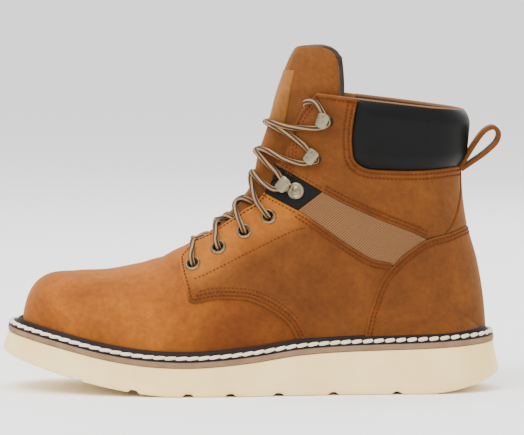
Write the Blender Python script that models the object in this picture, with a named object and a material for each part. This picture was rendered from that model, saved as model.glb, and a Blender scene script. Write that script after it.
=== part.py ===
"""Wedge sole work boot for the left foot: six inch upper, padded collar, white wedge sole.

The toe points along -X, the heel along +X, the outer (lateral) side faces -Y and +Z is up.
The boot stands on the plane Z = 0, with X = 0 halfway along the sole. All sizes are in metres.
"""

import math

import bmesh
import bpy
import numpy as np
from mathutils import Matrix, Vector

# Sole
SOLE_LENGTH = 0.311
BALL_WIDTH = 0.118
HEEL_WIDTH = 0.084
TOE_SWING = 0.009
WALL_FLARE = 0.0033
BALL_THICKNESS = 0.0175
HEEL_THICKNESS = 0.030
TOE_SPRING = 0.024
HEEL_BEVEL = 0.0105
MIDSOLE_THICKNESS = 0.0038
NOTCH_DEPTH = 0.0018
NOTCH_MOUTH = 0.0075
NOTCH_FLOOR = 0.0032
TREAD_ROUND = 0.0022
MIDSOLE_BULGE = 0.0003

# Welt
WELT_WIDTH_TOE = 0.0087
WELT_WIDTH_HEEL = 0.0058
WELT_EDGE = 0.0018
WELT_SETBACK = 0.0004
RIB_HEIGHT = 0.0055
RIB_WIDTH = 0.0026

# Upper
TOE_BOX_HEIGHT = 0.073
SHAFT_HEIGHT = 0.1885
COLLAR_BACK_HEIGHT = 0.175
THROAT_GAP = 0.042
WALL = 0.0020
INSOLE_THICKNESS = 0.0030
INSOLE_GAP = 0.0012
INSOLE_BEVEL = 0.0008
CLEARANCE = 0.0003

LATERAL = -1
MEDIAL = 1

# The sole's outline at the foot of its wall, from above. Along is a share of the sole's length,
# across a share of the ball's width in the forefoot rows and of the heel's width in the others.
LATERAL_FOREFOOT = [
    # along, across
    (0.010, 0.100),
    (0.034, 0.205),
    (0.078, 0.305),
    (0.140, 0.383),
    (0.215, 0.446),
    (0.300, 0.490),
    (0.380, 0.500),
    (0.455, 0.485),
]
LATERAL_REARFOOT = [
    # along, across
    (0.535, 0.635),
    (0.625, 0.575),
    (0.725, 0.525),
    (0.820, 0.500),
    (0.895, 0.465),
    (0.950, 0.370),
    (0.986, 0.215),
]
MEDIAL_FOREFOOT = [
    # along, across
    (0.009, 0.215),
    (0.030, 0.305),
    (0.070, 0.375),
    (0.130, 0.425),
    (0.200, 0.455),
    (0.280, 0.468),
    (0.355, 0.460),
    (0.435, 0.425),
]
MEDIAL_REARFOOT = [
    # along, across
    (0.520, 0.548),
    (0.615, 0.512),
    (0.715, 0.497),
    (0.815, 0.490),
    (0.893, 0.455),
    (0.950, 0.362),
    (0.986, 0.210),
]

# Height of the outsole's top. Along is a share of the sole's length. Spring, ball and heel are shares
# of the toe spring, the ball's thickness and the heel's thickness, and their sum is the height.
SOLE_TOP = [
    # along, spring, ball, heel
    (0.00, 1.00, 0.75, 0.00),
    (0.06, 0.75, 0.85, 0.00),
    (0.12, 0.48, 0.97, 0.00),
    (0.20, 0.22, 1.00, 0.00),
    (0.28, 0.06, 1.00, 0.00),
    (0.36, 0.00, 1.00, 0.00),
    (0.43, 0.00, 0.82, 0.13),
    (0.51, 0.00, 0.45, 0.43),
    (0.59, 0.00, 0.20, 0.70),
    (0.67, 0.00, 0.05, 0.85),
    (0.76, 0.00, 0.00, 0.91),
    (0.86, 0.00, 0.00, 0.94),
    (0.94, 0.00, 0.00, 0.985),
    (1.00, 0.00, 0.00, 1.03),
]

TOE_SPRING_START = 0.35
TOE_SPRING_CURVE = 1.6
HEEL_BEVEL_START = 0.85
HEEL_BEVEL_CURVE = 1.8
NOTCHES = (0.157, 0.269, 0.377, 0.461, 0.556, 0.665, 0.792)

# The rings of the last, from the toe tip round the heel to the collar. Each ring runs from its foot,
# on the welt or on the back of the heel, to its top, on the ridge of the vamp or the front of the shaft.
# Along is a share of the upper's length. Rise is 0 at the welt, 1 at the toe box and 2 at the shaft's
# front, and back is 0 at the welt and 1 at the back of the collar. Girth is half the ring's width as a
# share of the heel's width, and 0 where the welt sets it. Belly is how far up the ring is widest, full
# the power of the section's curve, swing the ridge's offset as a share of the toe's, and gap the
# throat's half opening as a share.
LAST = [
    # top along, rise, foot along, back, girth, belly, full, swing, gap
    (0.000, 0.000, 0.000, 0.00, 0.000, 0.00, 2.50, 1.00, 0.00),
    (0.003, 0.270, 0.003, 0.00, 0.000, 0.00, 2.50, 1.00, 0.00),
    (0.014, 0.600, 0.014, 0.00, 0.000, 0.00, 2.50, 0.98, 0.00),
    (0.033, 0.830, 0.033, 0.00, 0.000, 0.00, 2.50, 0.95, 0.00),
    (0.064, 0.965, 0.064, 0.00, 0.000, 0.00, 2.50, 0.90, 0.00),
    (0.115, 1.000, 0.115, 0.00, 0.000, 0.00, 2.45, 0.80, 0.00),
    (0.190, 1.012, 0.190, 0.00, 0.000, 0.00, 2.40, 0.60, 0.00),
    (0.267, 1.055, 0.272, 0.00, 0.000, 0.00, 2.45, 0.40, 0.00),
    (0.336, 1.117, 0.365, 0.00, 0.000, 0.00, 2.55, 0.22, 0.00),
    (0.396, 1.215, 0.480, 0.00, 0.000, 0.02, 2.60, 0.12, 0.80),
    (0.450, 1.345, 0.620, 0.00, 0.430, 0.08, 2.60, 0.05, 0.92),
    (0.485, 1.450, 0.765, 0.00, 0.428, 0.20, 2.50, 0.00, 0.96),
    (0.501, 1.540, 0.878, 0.00, 0.425, 0.32, 2.40, 0.00, 0.98),
    (0.511, 1.620, 0.948, 0.00, 0.421, 0.41, 2.35, 0.00, 1.00),
    (0.519, 1.680, 0.986, 0.00, 0.417, 0.47, 2.30, 0.00, 1.02),
    (0.526, 1.730, 1.000, 0.00, 0.413, 0.50, 2.25, 0.00, 1.04),
    (0.532, 1.775, 0.998, 0.16, 0.408, 0.50, 2.25, 0.00, 1.06),
    (0.538, 1.825, 0.983, 0.33, 0.402, 0.50, 2.25, 0.00, 1.09),
    (0.544, 1.880, 0.959, 0.50, 0.400, 0.50, 2.25, 0.00, 1.12),
    (0.550, 1.940, 0.949, 0.72, 0.415, 0.50, 2.25, 0.00, 1.16),
    (0.557, 2.000, 0.953, 1.00, 0.445, 0.50, 2.25, 0.00, 1.34),
]
HEEL_CORNER_ROW = 15
THROAT_ROW = 8


def clear_scene():
    for found in list(bpy.data.objects):
        bpy.data.objects.remove(found)


def spline(rows, at, closed=False):
    """Rows of a table read at row numbers such as 2.5, along a smooth curve through every row."""
    rows = np.asarray(rows, float)
    at = np.atleast_1d(np.asarray(at, float))
    if closed:
        padded = np.vstack([rows[-1:], rows, rows[:2]])
        last = len(rows)
    else:
        padded = np.vstack([2 * rows[:1] - rows[1:2], rows, 2 * rows[-1:] - rows[-2:-1]])
        last = len(rows) - 1
    start = np.clip(np.floor(at).astype(int), 0, last - 1)
    t = (at - start)[:, None]
    before, first, second, after = (padded[start + k] for k in range(4))
    bend = 2 * before - 5 * first + 4 * second - after
    twist = 3 * first - before - 3 * second + after
    return 0.5 * (2 * first + (second - before) * t + bend * t**2 + twist * t**3)


def power(value, exponent):
    return np.sign(value) * np.abs(value) ** exponent


class Contour:
    """A closed line round the foot, seen from above, as two halves from the toe tip to the heel."""

    def __init__(self, lateral, medial):
        self.halves = {LATERAL: np.asarray(lateral), MEDIAL: np.asarray(medial)}
        self.toe = float(lateral[0][0])
        self.heel = float(lateral[-1][0])

    def across(self, x, side):
        half = self.halves[side]
        return np.interp(x, half[:, 0], half[:, 1])

    def along(self, share):
        return self.toe + np.asarray(share) * (self.heel - self.toe)

    def grown(self, distance):
        """The contour moved outwards by a distance, which may be a function of the share along."""
        points = np.vstack([self.halves[LATERAL], self.halves[MEDIAL][-2:0:-1]])
        ahead = np.roll(points, -1, axis=0) - np.roll(points, 1, axis=0)
        outward = np.stack([ahead[:, 1], -ahead[:, 0]], axis=1)
        outward /= np.linalg.norm(outward, axis=1)[:, None]
        share = (points[:, 0] - self.toe) / (self.heel - self.toe)
        reach = distance(share) if callable(distance) else np.full(len(points), distance)
        return contour_of(points + outward * reach[:, None])


def contour_of(points):
    """A contour from points that go from the toe along the lateral side to the heel and back."""
    toe = int(np.argmin(points[:, 0]))
    ring = np.roll(points, -toe, axis=0)
    heel = int(np.argmax(ring[:, 0]))
    lateral = ring[: heel + 1]
    medial = np.vstack([ring[heel:], ring[:1]])[::-1]
    return Contour(rising(lateral), rising(medial))


def rising(points):
    """The points whose X grows, which np.interp needs."""
    kept = [points[0]]
    for point in points[1:]:
        if point[0] > kept[-1][0]:
            kept.append(point)
    kept[-1] = points[-1]
    return np.array(kept)


def sole_outline():
    def placed(rows, width, side):
        return [((along - 0.5) * SOLE_LENGTH, side * across * width) for along, across in rows]

    lateral = placed(LATERAL_FOREFOOT, BALL_WIDTH, LATERAL)
    lateral += placed(LATERAL_REARFOOT, HEEL_WIDTH, LATERAL)
    medial = placed(MEDIAL_FOREFOOT, BALL_WIDTH, MEDIAL)
    medial += placed(MEDIAL_REARFOOT, HEEL_WIDTH, MEDIAL)
    toe = [(-0.5 * SOLE_LENGTH, TOE_SWING)]
    heel = [(0.5 * SOLE_LENGTH, 0.0)]
    ring = toe + lateral + heel + medial[::-1]
    return contour_of(spline(ring, np.linspace(0, len(ring), 40 * len(ring), endpoint=False), True))


FOOT_OF_WALL = sole_outline()
SOLE_EDGE = FOOT_OF_WALL.grown(-WALL_FLARE)


def welt_width(share):
    return WELT_WIDTH_TOE + (WELT_WIDTH_HEEL - WELT_WIDTH_TOE) * share


FEATHER = SOLE_EDGE.grown(lambda share: -welt_width(share))


def share_along_sole(x):
    return np.asarray(x) / SOLE_LENGTH + 0.5


def outsole_top(x):
    table = np.array(SOLE_TOP)
    dense = spline(table, np.linspace(0, len(table) - 1, 200))
    parts = dense[:, 1:] @ np.array([TOE_SPRING, BALL_THICKNESS, HEEL_THICKNESS])
    return np.interp(share_along_sole(x), dense[:, 0], parts)


def tread(x):
    """Height of the sole's underside without its notches: flat, with the toe sprung and the heel bevelled."""
    share = share_along_sole(x)
    toe = np.clip((TOE_SPRING_START - share) / TOE_SPRING_START, 0, None)
    heel = np.clip((share - HEEL_BEVEL_START) / (1 - HEEL_BEVEL_START), 0, None)
    return TOE_SPRING * toe**TOE_SPRING_CURVE + HEEL_BEVEL * heel**HEEL_BEVEL_CURVE


def notched_tread(x):
    """The underside with its notches, which open from their floor to their mouth."""
    depth = np.zeros_like(np.asarray(x, float))
    for share in NOTCHES:
        away = np.abs(x - (share - 0.5) * SOLE_LENGTH)
        slope = (NOTCH_MOUTH - NOTCH_FLOOR) / 2
        depth = np.maximum(depth, np.clip((NOTCH_MOUTH / 2 - away) / slope, 0, 1))
    return tread(x) + NOTCH_DEPTH * depth


def midsole_top(x):
    return outsole_top(x) + MIDSOLE_THICKNESS


def feather_height(x):
    """Where the upper's lower edge sits, just above the midsole."""
    return midsole_top(x) + CLEARANCE


def last_rows(at):
    """The rings' columns at row numbers of the table, as lengths."""
    columns = spline(LAST, at).T
    top_along, rise, foot_along, back, girth, belly, full, swing, gap = columns
    at = np.atleast_1d(at)
    top_x = FEATHER.along(np.clip(top_along, 0, 1))
    foot_x = FEATHER.along(np.clip(foot_along, 0, 1))
    on_welt = at < HEEL_CORNER_ROW
    low = np.clip(rise, 0, 1)
    high = np.clip(rise - 1, 0, None)
    base = feather_height(top_x)
    welt_z = feather_height(foot_x)
    return {
        "top": (top_x, base + low * (TOE_BOX_HEIGHT - base) + high * (SHAFT_HEIGHT - TOE_BOX_HEIGHT)),
        "foot": (foot_x, welt_z + np.where(on_welt, 0, back) * (COLLAR_BACK_HEIGHT - welt_z)),
        "girth": np.clip(girth, 0, None) * HEEL_WIDTH,
        "belly": np.where(at <= THROAT_ROW, 0, belly),
        "full": full,
        "ridge": np.where(on_welt, swing, 0) * FEATHER.across(FEATHER.toe, MEDIAL),
        "half_gap": np.where(at <= THROAT_ROW, 0, np.clip(gap, 0, None)) * THROAT_GAP / 2,
        "on_welt": on_welt,
    }


def skin(at, share, side, closed=False):
    """Points of the last's surface: one ring for each row number, one point for each share up the ring.

    Share 0 is the ring's foot and share 1 the throat's edge, or the ridge where closed is true.
    """
    rows = last_rows(at)
    top_x, top_z = rows["top"]
    foot_x, foot_z = rows["foot"]
    edge = np.where(rows["on_welt"], side * (FEATHER.across(foot_x, side) - rows["ridge"]), 0)
    edge = np.clip(edge, 0, None)
    half = np.maximum(np.maximum(rows["girth"], 1.006 * edge), 1e-9)
    full = rows["full"]
    first = -np.arccos(np.clip(edge / half, 0, 1) ** (full / 2))
    last = np.full_like(first, math.pi / 2)
    if not closed:
        last = np.arccos(np.clip(rows["half_gap"] / half, 0, 1) ** (full / 2))
    angle = first[:, None] + np.asarray(share)[None, :] * (last - first)[:, None]
    exponent = (2 / full)[:, None]
    belly = rows["belly"][:, None]
    below = belly / np.abs(power(np.sin(first), 2 / full))[:, None]
    up = power(np.sin(angle), exponent)
    climb = belly + np.where(up > 0, 1 - belly, below) * up
    out = np.clip(np.cos(angle), 0, None) ** exponent
    x = foot_x[:, None] + climb * (top_x - foot_x)[:, None]
    z = foot_z[:, None] + climb * (top_z - foot_z)[:, None]
    y = rows["ridge"][:, None] + side * half[:, None] * out
    return np.stack([x, y, z], axis=2)


def patch(points):
    """Vertices and quads of a grid of points, rows by columns."""
    rows, columns = points.shape[:2]
    index = np.arange(rows * columns).reshape(rows, columns)
    quads = np.stack([index[:-1, :-1], index[1:, :-1], index[1:, 1:], index[:-1, 1:]], axis=2)
    return points.reshape(-1, 3), quads.reshape(-1, 4)


def welded_sheet(patches):
    """One bmesh from several patches, joined where they meet, with its faces pointing outwards."""
    sheet = bmesh.new()
    for points, quads in patches:
        corners = [sheet.verts.new(point) for point in points]
        for quad in quads:
            sheet.faces.new([corners[k] for k in quad])
    bmesh.ops.remove_doubles(sheet, verts=sheet.verts, dist=1e-6)
    bmesh.ops.dissolve_degenerate(sheet, edges=sheet.edges, dist=1e-7)
    sheet.normal_update()
    return sheet


def thickened(sheet, outer, inner, level_edge=None):
    """A closed solid between two distances from the sheet, measured along its normals.

    Outer may be a function of the vertex. Vertices that level_edge picks keep their height, so a lower
    edge stays flat on what it sits on.
    """
    far, near = [], []
    for vertex in sheet.verts:
        normal = vertex.normal.copy()
        if level_edge and level_edge(vertex):
            normal.z = 0
            normal.normalize()
        reach = outer(vertex) if callable(outer) else outer
        depth = inner(vertex) if callable(inner) else inner
        far.append(vertex.co + normal * reach)
        near.append(vertex.co + normal * depth)
    solid = bmesh.new()
    sheet.verts.index_update()
    top = [solid.verts.new(point) for point in far]
    bottom = [solid.verts.new(point) for point in near]
    for face in sheet.faces:
        ring = [corner.index for corner in face.verts]
        solid.faces.new([top[k] for k in ring])
        solid.faces.new([bottom[k] for k in reversed(ring)])
    for edge in sheet.edges:
        if edge.is_boundary:
            loop = edge.link_loops[0]
            here, ahead = loop.vert.index, loop.link_loop_next.vert.index
            solid.faces.new([top[ahead], top[here], bottom[here], bottom[ahead]])
    sheet.free()
    return solid


def make_material(name, colour, roughness, metallic=0.0):
    material = bpy.data.materials.new(name)
    material.use_nodes = True
    shader = material.node_tree.nodes["Principled BSDF"]
    shader.inputs["Base Color"].default_value = (*colour, 1.0)
    shader.inputs["Roughness"].default_value = roughness
    shader.inputs["Metallic"].default_value = metallic
    material.diffuse_color = (*colour, 1.0)
    return material


def add_node(name, built, material, smooth_angle=math.radians(35)):
    mesh = bpy.data.meshes.new(name)
    bmesh.ops.recalc_face_normals(built, faces=built.faces)
    bmesh.ops.triangulate(built, faces=built.faces)
    built.to_mesh(mesh)
    built.free()
    mesh.materials.append(material)
    mesh.shade_smooth()
    mesh.set_sharp_from_angle(angle=smooth_angle)
    made = bpy.data.objects.new(name, mesh)
    bpy.context.collection.objects.link(made)
    return made


# Solids of the sole

END_STATIONS = 10
MIDDLE_STATIONS = 13


def end_clusters(count, reach):
    """Shares from 0 to reach that crowd towards 0, for the round ends of the sole."""
    return [reach * (1 - math.cos(math.pi / 2 * k / count)) for k in range(count)]


def stations(extra=()):
    toe = end_clusters(END_STATIONS, 0.16)
    heel = [1 - share for share in end_clusters(END_STATIONS, 0.14)]
    middle = list(np.linspace(0.16, 0.86, MIDDLE_STATIONS)) if not extra else list(extra)
    return sorted(set(toe + middle + heel))


def loop_of(contour, shares, height):
    """A closed loop of points: toe, lateral side, heel, medial side."""
    x = contour.along(shares)
    lateral = np.stack([x, contour.across(x, LATERAL), height(x)], axis=1)
    medial = np.stack([x, contour.across(x, MEDIAL), height(x)], axis=1)
    return np.vstack([lateral, medial[-2:0:-1]])


def band(solid, lower, upper):
    count = len(lower)
    for k in range(count):
        ahead = (k + 1) % count
        solid.faces.new([lower[k], lower[ahead], upper[ahead], upper[k]])


def ladder(solid, loop, facing_up):
    """Fills a loop with rungs from its lateral to its medial side."""
    rungs = len(loop) // 2
    for k in range(rungs):
        a, b = loop[k], loop[k + 1]
        c, d = loop[-(k + 1)], loop[-k] if k else loop[0]
        corners = [a, b, c, d] if facing_up else [d, c, b, a]
        unique = list(dict.fromkeys(corners))
        solid.faces.new(unique)


def slab(loops):
    """A closed solid through loops from the underside to the top."""
    solid = bmesh.new()
    rings = [[solid.verts.new(point) for point in loop] for loop in loops]
    for lower, upper in zip(rings, rings[1:]):
        band(solid, lower, upper)
    ladder(solid, rings[0], False)
    ladder(solid, rings[-1], True)
    return solid


def outsole():
    span = FOOT_OF_WALL.heel - FOOT_OF_WALL.toe
    edges = []
    for share in NOTCHES:
        middle = (share - 0.5) * SOLE_LENGTH
        for reach in (NOTCH_MOUTH / 2, NOTCH_FLOOR / 2):
            edges += [(middle - reach - FOOT_OF_WALL.toe) / span, (middle + reach - FOOT_OF_WALL.toe) / span]
    shares = [s for s in stations(tuple(edges) + (0.42, 0.5, 0.61, 0.73)) if not near_notch(s, edges)]
    shares = sorted(set(shares + edges))

    def between(share):
        return lambda x: notched_tread(x) + share * (outsole_top(x) - notched_tread(x))

    loops = [
        loop_of(FOOT_OF_WALL.grown(-TREAD_ROUND), shares, notched_tread),
        loop_of(FOOT_OF_WALL, shares, between(0.10)),
        loop_of(FOOT_OF_WALL.grown(-0.6 * WALL_FLARE), shares, between(0.55)),
        loop_of(SOLE_EDGE, shares, outsole_top),
    ]
    return slab(loops)


def near_notch(share, edges):
    return any(abs(share - edge) < 0.004 and share != edge for edge in edges)


def midsole():
    shares = stations()
    loops = [
        loop_of(SOLE_EDGE, shares, lambda x: outsole_top(x) + CLEARANCE),
        loop_of(SOLE_EDGE.grown(MIDSOLE_BULGE), shares, lambda x: outsole_top(x) + 0.5 * MIDSOLE_THICKNESS),
        loop_of(SOLE_EDGE, shares, midsole_top),
    ]
    return slab(loops)


def skin_contour(height):
    """The upper's outer line at a height above the welt seam, seen from above."""
    halves = {}
    at = np.linspace(0.02, HEEL_CORNER_ROW + 0.9, 260)
    share = np.linspace(0, 1, 120)
    for side in (LATERAL, MEDIAL):
        found = []
        for arc in skin(at, share, side, closed=True):
            above = arc[:, 2] - feather_height(arc[:, 0]) - height
            crossing = np.nonzero((above[:-1] < 0) & (above[1:] >= 0))[0]
            if len(crossing):
                k = crossing[0]
                t = -above[k] / (above[k + 1] - above[k])
                found.append((arc[k] + t * (arc[k + 1] - arc[k]))[:2])
        halves[side] = np.array(found)
    toe = np.array([(halves[LATERAL][0] + halves[MEDIAL][0]) / 2])
    heel = np.array([(halves[LATERAL][-1] + halves[MEDIAL][-1]) / 2])
    heel[0, 0] += 1e-5
    toe[0, 0] -= 1e-5
    ring = np.vstack([toe, halves[LATERAL], heel, halves[MEDIAL][::-1]])
    return contour_of(ring)


def widest(first, second):
    """The contour that holds both of two contours."""
    x = np.linspace(min(first.toe, second.toe), max(first.heel, second.heel), 900)
    halves = {}
    for side in (LATERAL, MEDIAL):
        reach = np.maximum(side * first.across(x, side), side * second.across(x, side))
        halves[side] = np.stack([x, side * reach], axis=1)
    toe = [(x[0] - 1e-5, float(halves[LATERAL][0, 1] + halves[MEDIAL][0, 1]) / 2)]
    heel = [(x[-1] + 1e-5, 0.0)]
    return contour_of(np.vstack([toe, halves[LATERAL], heel, halves[MEDIAL][::-1]]))


def welt():
    """A ring round the upper's foot: a sloped flange that holds the stitching, and a rib against the upper."""
    shares = stations()
    inner_foot = FEATHER.grown(4 * CLEARANCE)
    belly = widest(skin_contour(0.5 * RIB_HEIGHT), skin_contour(RIB_HEIGHT))
    inner_top = widest(FEATHER, belly).grown(4 * CLEARANCE)
    rib_outer = inner_top.grown(RIB_WIDTH)
    edge = SOLE_EDGE.grown(-WELT_SETBACK)

    def lifted(height):
        return lambda x: midsole_top(x) + height

    profile = [
        (inner_foot, CLEARANCE),
        (edge, CLEARANCE),
        (edge, CLEARANCE + WELT_EDGE),
        (rib_outer, 0.65 * RIB_HEIGHT),
        (rib_outer.grown(-0.3 * RIB_WIDTH), 0.96 * RIB_HEIGHT),
        (inner_top, RIB_HEIGHT),
        (inner_top, 0.25 * RIB_HEIGHT),
    ]
    ring = bmesh.new()
    loops = []
    for contour, height in profile:
        points = loop_of(contour, shares, lifted(height))
        loops.append([ring.verts.new(point) for point in points])
    for lower, upper in zip(loops, loops[1:] + loops[:1]):
        band(ring, lower, upper)
    return ring


def insole():
    shares = stations()
    inside = FEATHER.grown(-WALL - INSOLE_GAP)
    inside_top = FEATHER.grown(-WALL - INSOLE_GAP - INSOLE_BEVEL)
    loops = [
        loop_of(inside, shares, lambda x: midsole_top(x) + CLEARANCE),
        loop_of(inside, shares, lambda x: midsole_top(x) + CLEARANCE + 0.7 * INSOLE_THICKNESS),
        loop_of(inside_top, shares, lambda x: midsole_top(x) + CLEARANCE + INSOLE_THICKNESS),
    ]
    return slab(loops)


# Solids of the upper

RINGS = [0, 0.5, 1, 1.5, 2, 3, 4, 5, 6, 7, 8, 8.4, 8.9, 9.4, 9.8, 10.2, 10.6, 11, 11.5, 12, 12.7, 13.4, 14, 14.5, 15,
         16, 17, 18, 19, 20]
ARC_STEPS = 7


def last_sheet(rings=RINGS, closed=False, steps=ARC_STEPS):
    shares = np.linspace(0, 1, steps + 1)
    patches = []
    for side in (LATERAL, MEDIAL):
        points, quads = patch(skin(rings, shares, side, closed))
        patches.append((points, quads if side == LATERAL else quads[:, ::-1]))
    return welded_sheet(patches)


def on_welt_line(vertex):
    return vertex.is_boundary and vertex.co.z < feather_height(vertex.co.x) + 1e-5


def upper():
    return thickened(last_sheet(), 0.0, -WALL, level_edge=on_welt_line)


def side_view(along, climb):
    """A place in the side view from shares: along the sole, and up from the welt to the shaft's front."""
    x = (np.asarray(along) - 0.5) * SOLE_LENGTH
    low = feather_height(x)
    return np.stack([x, low + np.asarray(climb) * (SHAFT_HEIGHT - low)], axis=-1)


def drawn(rows, steps=1):
    """The side view points of a table of shares, as a smooth line where steps is more than one."""
    table = np.array(rows)
    if steps > 1:
        table = spline(table, np.linspace(0, len(table) - 1, steps * (len(table) - 1) + 1))
    return side_view(table[:, 0], table[:, 1])


def above_rib(first, last, count=9):
    """A line just above the welt's rib, between two shares along the sole."""
    x = (np.linspace(first, last, count) - 0.5) * SOLE_LENGTH
    return np.stack([x, feather_height(x) + RIB_HEIGHT + 2 * CLEARANCE], axis=1)


def shrunk(outline, distance):
    """A closed outline moved inwards, so that neighbouring panels keep a gap."""
    ahead = np.roll(outline, -1, axis=0) - outline
    length = np.linalg.norm(ahead, axis=1)
    ring = outline[length > 1e-6]
    ahead = np.roll(ring, -1, axis=0) - ring
    area = np.sum(ring[:, 0] * np.roll(ring[:, 1], -1) - np.roll(ring[:, 0], -1) * ring[:, 1])
    inward = np.stack([-ahead[:, 1], ahead[:, 0]], axis=1) * np.sign(area)
    inward /= np.linalg.norm(inward, axis=1)[:, None]
    behind = np.roll(inward, 1, axis=0)
    bisector = inward + behind
    bisector /= np.maximum(np.sum(bisector * inward, axis=1), 0.4)[:, None]
    return ring + bisector * distance


def cutter(name, outline, near, far):
    """A prism through the side view's outline, which only cuts."""
    prism = bmesh.new()
    front = [prism.verts.new((x, near, z)) for x, z in outline]
    back = [prism.verts.new((x, far, z)) for x, z in outline]
    prism.faces.new(front)
    prism.faces.new(back[::-1])
    band(prism, front, back)
    bmesh.ops.recalc_face_normals(prism, faces=prism.faces)
    mesh = bpy.data.meshes.new(name)
    prism.to_mesh(mesh)
    prism.free()
    return hidden(name, mesh)


def hidden(name, mesh):
    made = bpy.data.objects.new(name, mesh)
    made.hide_render = True
    made.display_type = "WIRE"
    bpy.context.collection.objects.link(made)
    return made


def cut(node, tool, operation):
    change = node.modifiers.new(operation.lower(), "BOOLEAN")
    change.operation = operation
    change.solver = "EXACT"
    change.object = tool


def panel(name, outline, sides, outer, material, rings=RINGS, steps=None):
    """A leather panel on the upper: a layer of the last's skin inside a side view outline."""
    sheet = last_sheet(rings, steps=steps or ARC_STEPS)
    node = add_node(name, thickened(sheet, outer, CLEARANCE), material)
    near = -BALL_WIDTH if LATERAL in sides else SEAM_HALF
    far = BALL_WIDTH if MEDIAL in sides else -SEAM_HALF
    cut(node, cutter(name + "_outline", shrunk(outline, CLEARANCE), near, far), "INTERSECT")
    return node


# Seam lines in the side view. Along is a share of the sole's length, and climb a share of the way up
# from the welt to the front of the shaft.
QUARTER_FRONT = [
    # along, climb
    (0.593, 0.027),
    (0.579, 0.084),
    (0.559, 0.128),
    (0.529, 0.173),
    (0.499, 0.203),
    (0.470, 0.215),
    (0.430, 0.221),
    (0.400, 0.212),
    (0.379, 0.214),
    (0.372, 0.261),
    (0.363, 0.317),
    (0.358, 0.366),
    (0.352, 0.480),
]
STRAP_LOWER = [
    # along, climb
    (0.595, 0.530),
    (0.629, 0.485),
    (0.679, 0.412),
    (0.737, 0.338),
    (0.778, 0.316),
]
STRAP_UPPER = [
    # along, climb
    (0.643, 0.600),
    (0.688, 0.551),
    (0.757, 0.488),
    (0.816, 0.440),
    (0.849, 0.408),
]
COUNTER_EDGE = [
    # along, climb
    (0.751, 0.119),
    (0.769, 0.226),
    (0.784, 0.306),
    (0.804, 0.342),
    (0.828, 0.377),
    (0.854, 0.405),
    (0.888, 0.419),
    (0.914, 0.434),
    (0.942, 0.449),
    (1.020, 0.470),
]
BACKSTAY_EDGE = [
    # along, climb
    (0.886, 0.418),
    (0.900, 0.455),
    (0.911, 0.516),
    (0.917, 0.598),
    (0.919, 0.686),
]
COLLAR_EDGE = [
    # along, climb
    (1.020, 0.686),
    (0.919, 0.686),
    (0.837, 0.678),
    (0.768, 0.682),
    (0.730, 0.695),
    (0.707, 0.745),
    (0.703, 0.840),
    (0.713, 0.962),
    (0.720, 1.100),
]
PATCH = [
    # along, climb
    (0.531, 0.600),
    (0.531, 0.660),
    (0.538, 0.722),
    (0.571, 0.685),
    (0.643, 0.600),
    (0.595, 0.530),
]

LEATHER = 0.0015
COUNTER_LEATHER = 0.0024
COLLAR_PAD = 0.0052
COLLAR_ROUND = 0.009
WEBBING = 0.0022
BACKSTAY_LEATHER = 0.0022
SEAM_HALF = 0.1 * THROAT_GAP
QUARTER_START = 0.597
COUNTER_START = 0.735


def quarter(side, name, material):
    throat = side_view([0.352, 0.400, 0.460, 0.500], [0.62, 0.66, 0.74, 0.78])
    outline = np.vstack([
        drawn(QUARTER_FRONT, 3),
        throat,
        drawn(PATCH[:1]),
        drawn(STRAP_LOWER, 3),
        drawn(COUNTER_EDGE[2::-1], 2),
        above_rib(COUNTER_START, QUARTER_START),
    ])
    return panel(name, outline, (side,), LEATHER, material)


def shaft_panel(side, name, material):
    outline = np.vstack([
        drawn(PATCH[3:4]),
        drawn(STRAP_UPPER, 3),
        drawn(COUNTER_EDGE[5:7]),
        drawn(BACKSTAY_EDGE, 3)[1:],
        drawn(COLLAR_EDGE[1:], 3),
        side_view([0.55, 0.50, 0.50], [1.2, 1.0, 0.75]),
        drawn(PATCH[2:3]),
    ])
    return panel(name, outline, (side,), LEATHER, material)


def counter(material):
    rib = above_rib(1.03, COUNTER_START, 20)
    outline = np.vstack([drawn(COUNTER_EDGE, 3), rib])
    return panel("heel_counter", outline, (LATERAL, MEDIAL), COUNTER_LEATHER, material)


def backstay(material):
    outline = np.vstack([drawn(BACKSTAY_EDGE, 3), drawn(COLLAR_EDGE[:1]), drawn(COUNTER_EDGE[:-4:-1])])
    return panel("backstay", outline, (LATERAL, MEDIAL), BACKSTAY_LEATHER, material)


def distance_inside(outline, x, z):
    """How far a side view place lies inside a closed outline, or 0 outside it."""
    start = outline
    step = np.roll(outline, -1, axis=0) - start
    place = np.array([x, z])
    share = np.clip(np.sum((place - start) * step, axis=1) / np.sum(step * step, axis=1), 0, 1)
    gap = np.linalg.norm(start + share[:, None] * step - place, axis=1).min()
    ahead = start + step
    spans = (start[:, 1] > z) != (ahead[:, 1] > z)
    rise = np.where(spans, step[:, 1], 1.0)
    crossings = spans & (x < start[:, 0] + step[:, 0] * (z - start[:, 1]) / rise)
    return gap if np.count_nonzero(crossings) % 2 else 0.0


def collar(material):
    top = drawn([(0.712, 0.972), (0.76, 0.945), (0.84, 0.925), (0.935, 0.898), (1.02, 0.885)], 3)
    outline = np.vstack([drawn(COLLAR_EDGE[:8], 3), top])

    def padded(vertex):
        inside = min(distance_inside(outline, vertex.co.x, vertex.co.z) / COLLAR_ROUND, 1.0)
        return CLEARANCE + COLLAR_PAD * (0.25 + 0.75 * math.sin(inside * math.pi / 2))

    rings = [16, 17, 18, 18.5, 19, 19.5, 20]
    return panel("collar", outline, (LATERAL, MEDIAL), padded, material, rings, 2 * ARC_STEPS)


def strap(side, name, material):
    outline = np.vstack([drawn(STRAP_UPPER, 3), drawn(COUNTER_EDGE[4:2:-1]), drawn(STRAP_LOWER, 3)[::-1]])
    return panel(name, outline, (side,), WEBBING, material)


def hook_patch(side, name, material):
    return panel(name, drawn(PATCH), (side,), LEATHER, material)


# Tongue, pull loop, metalware and lace

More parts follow.
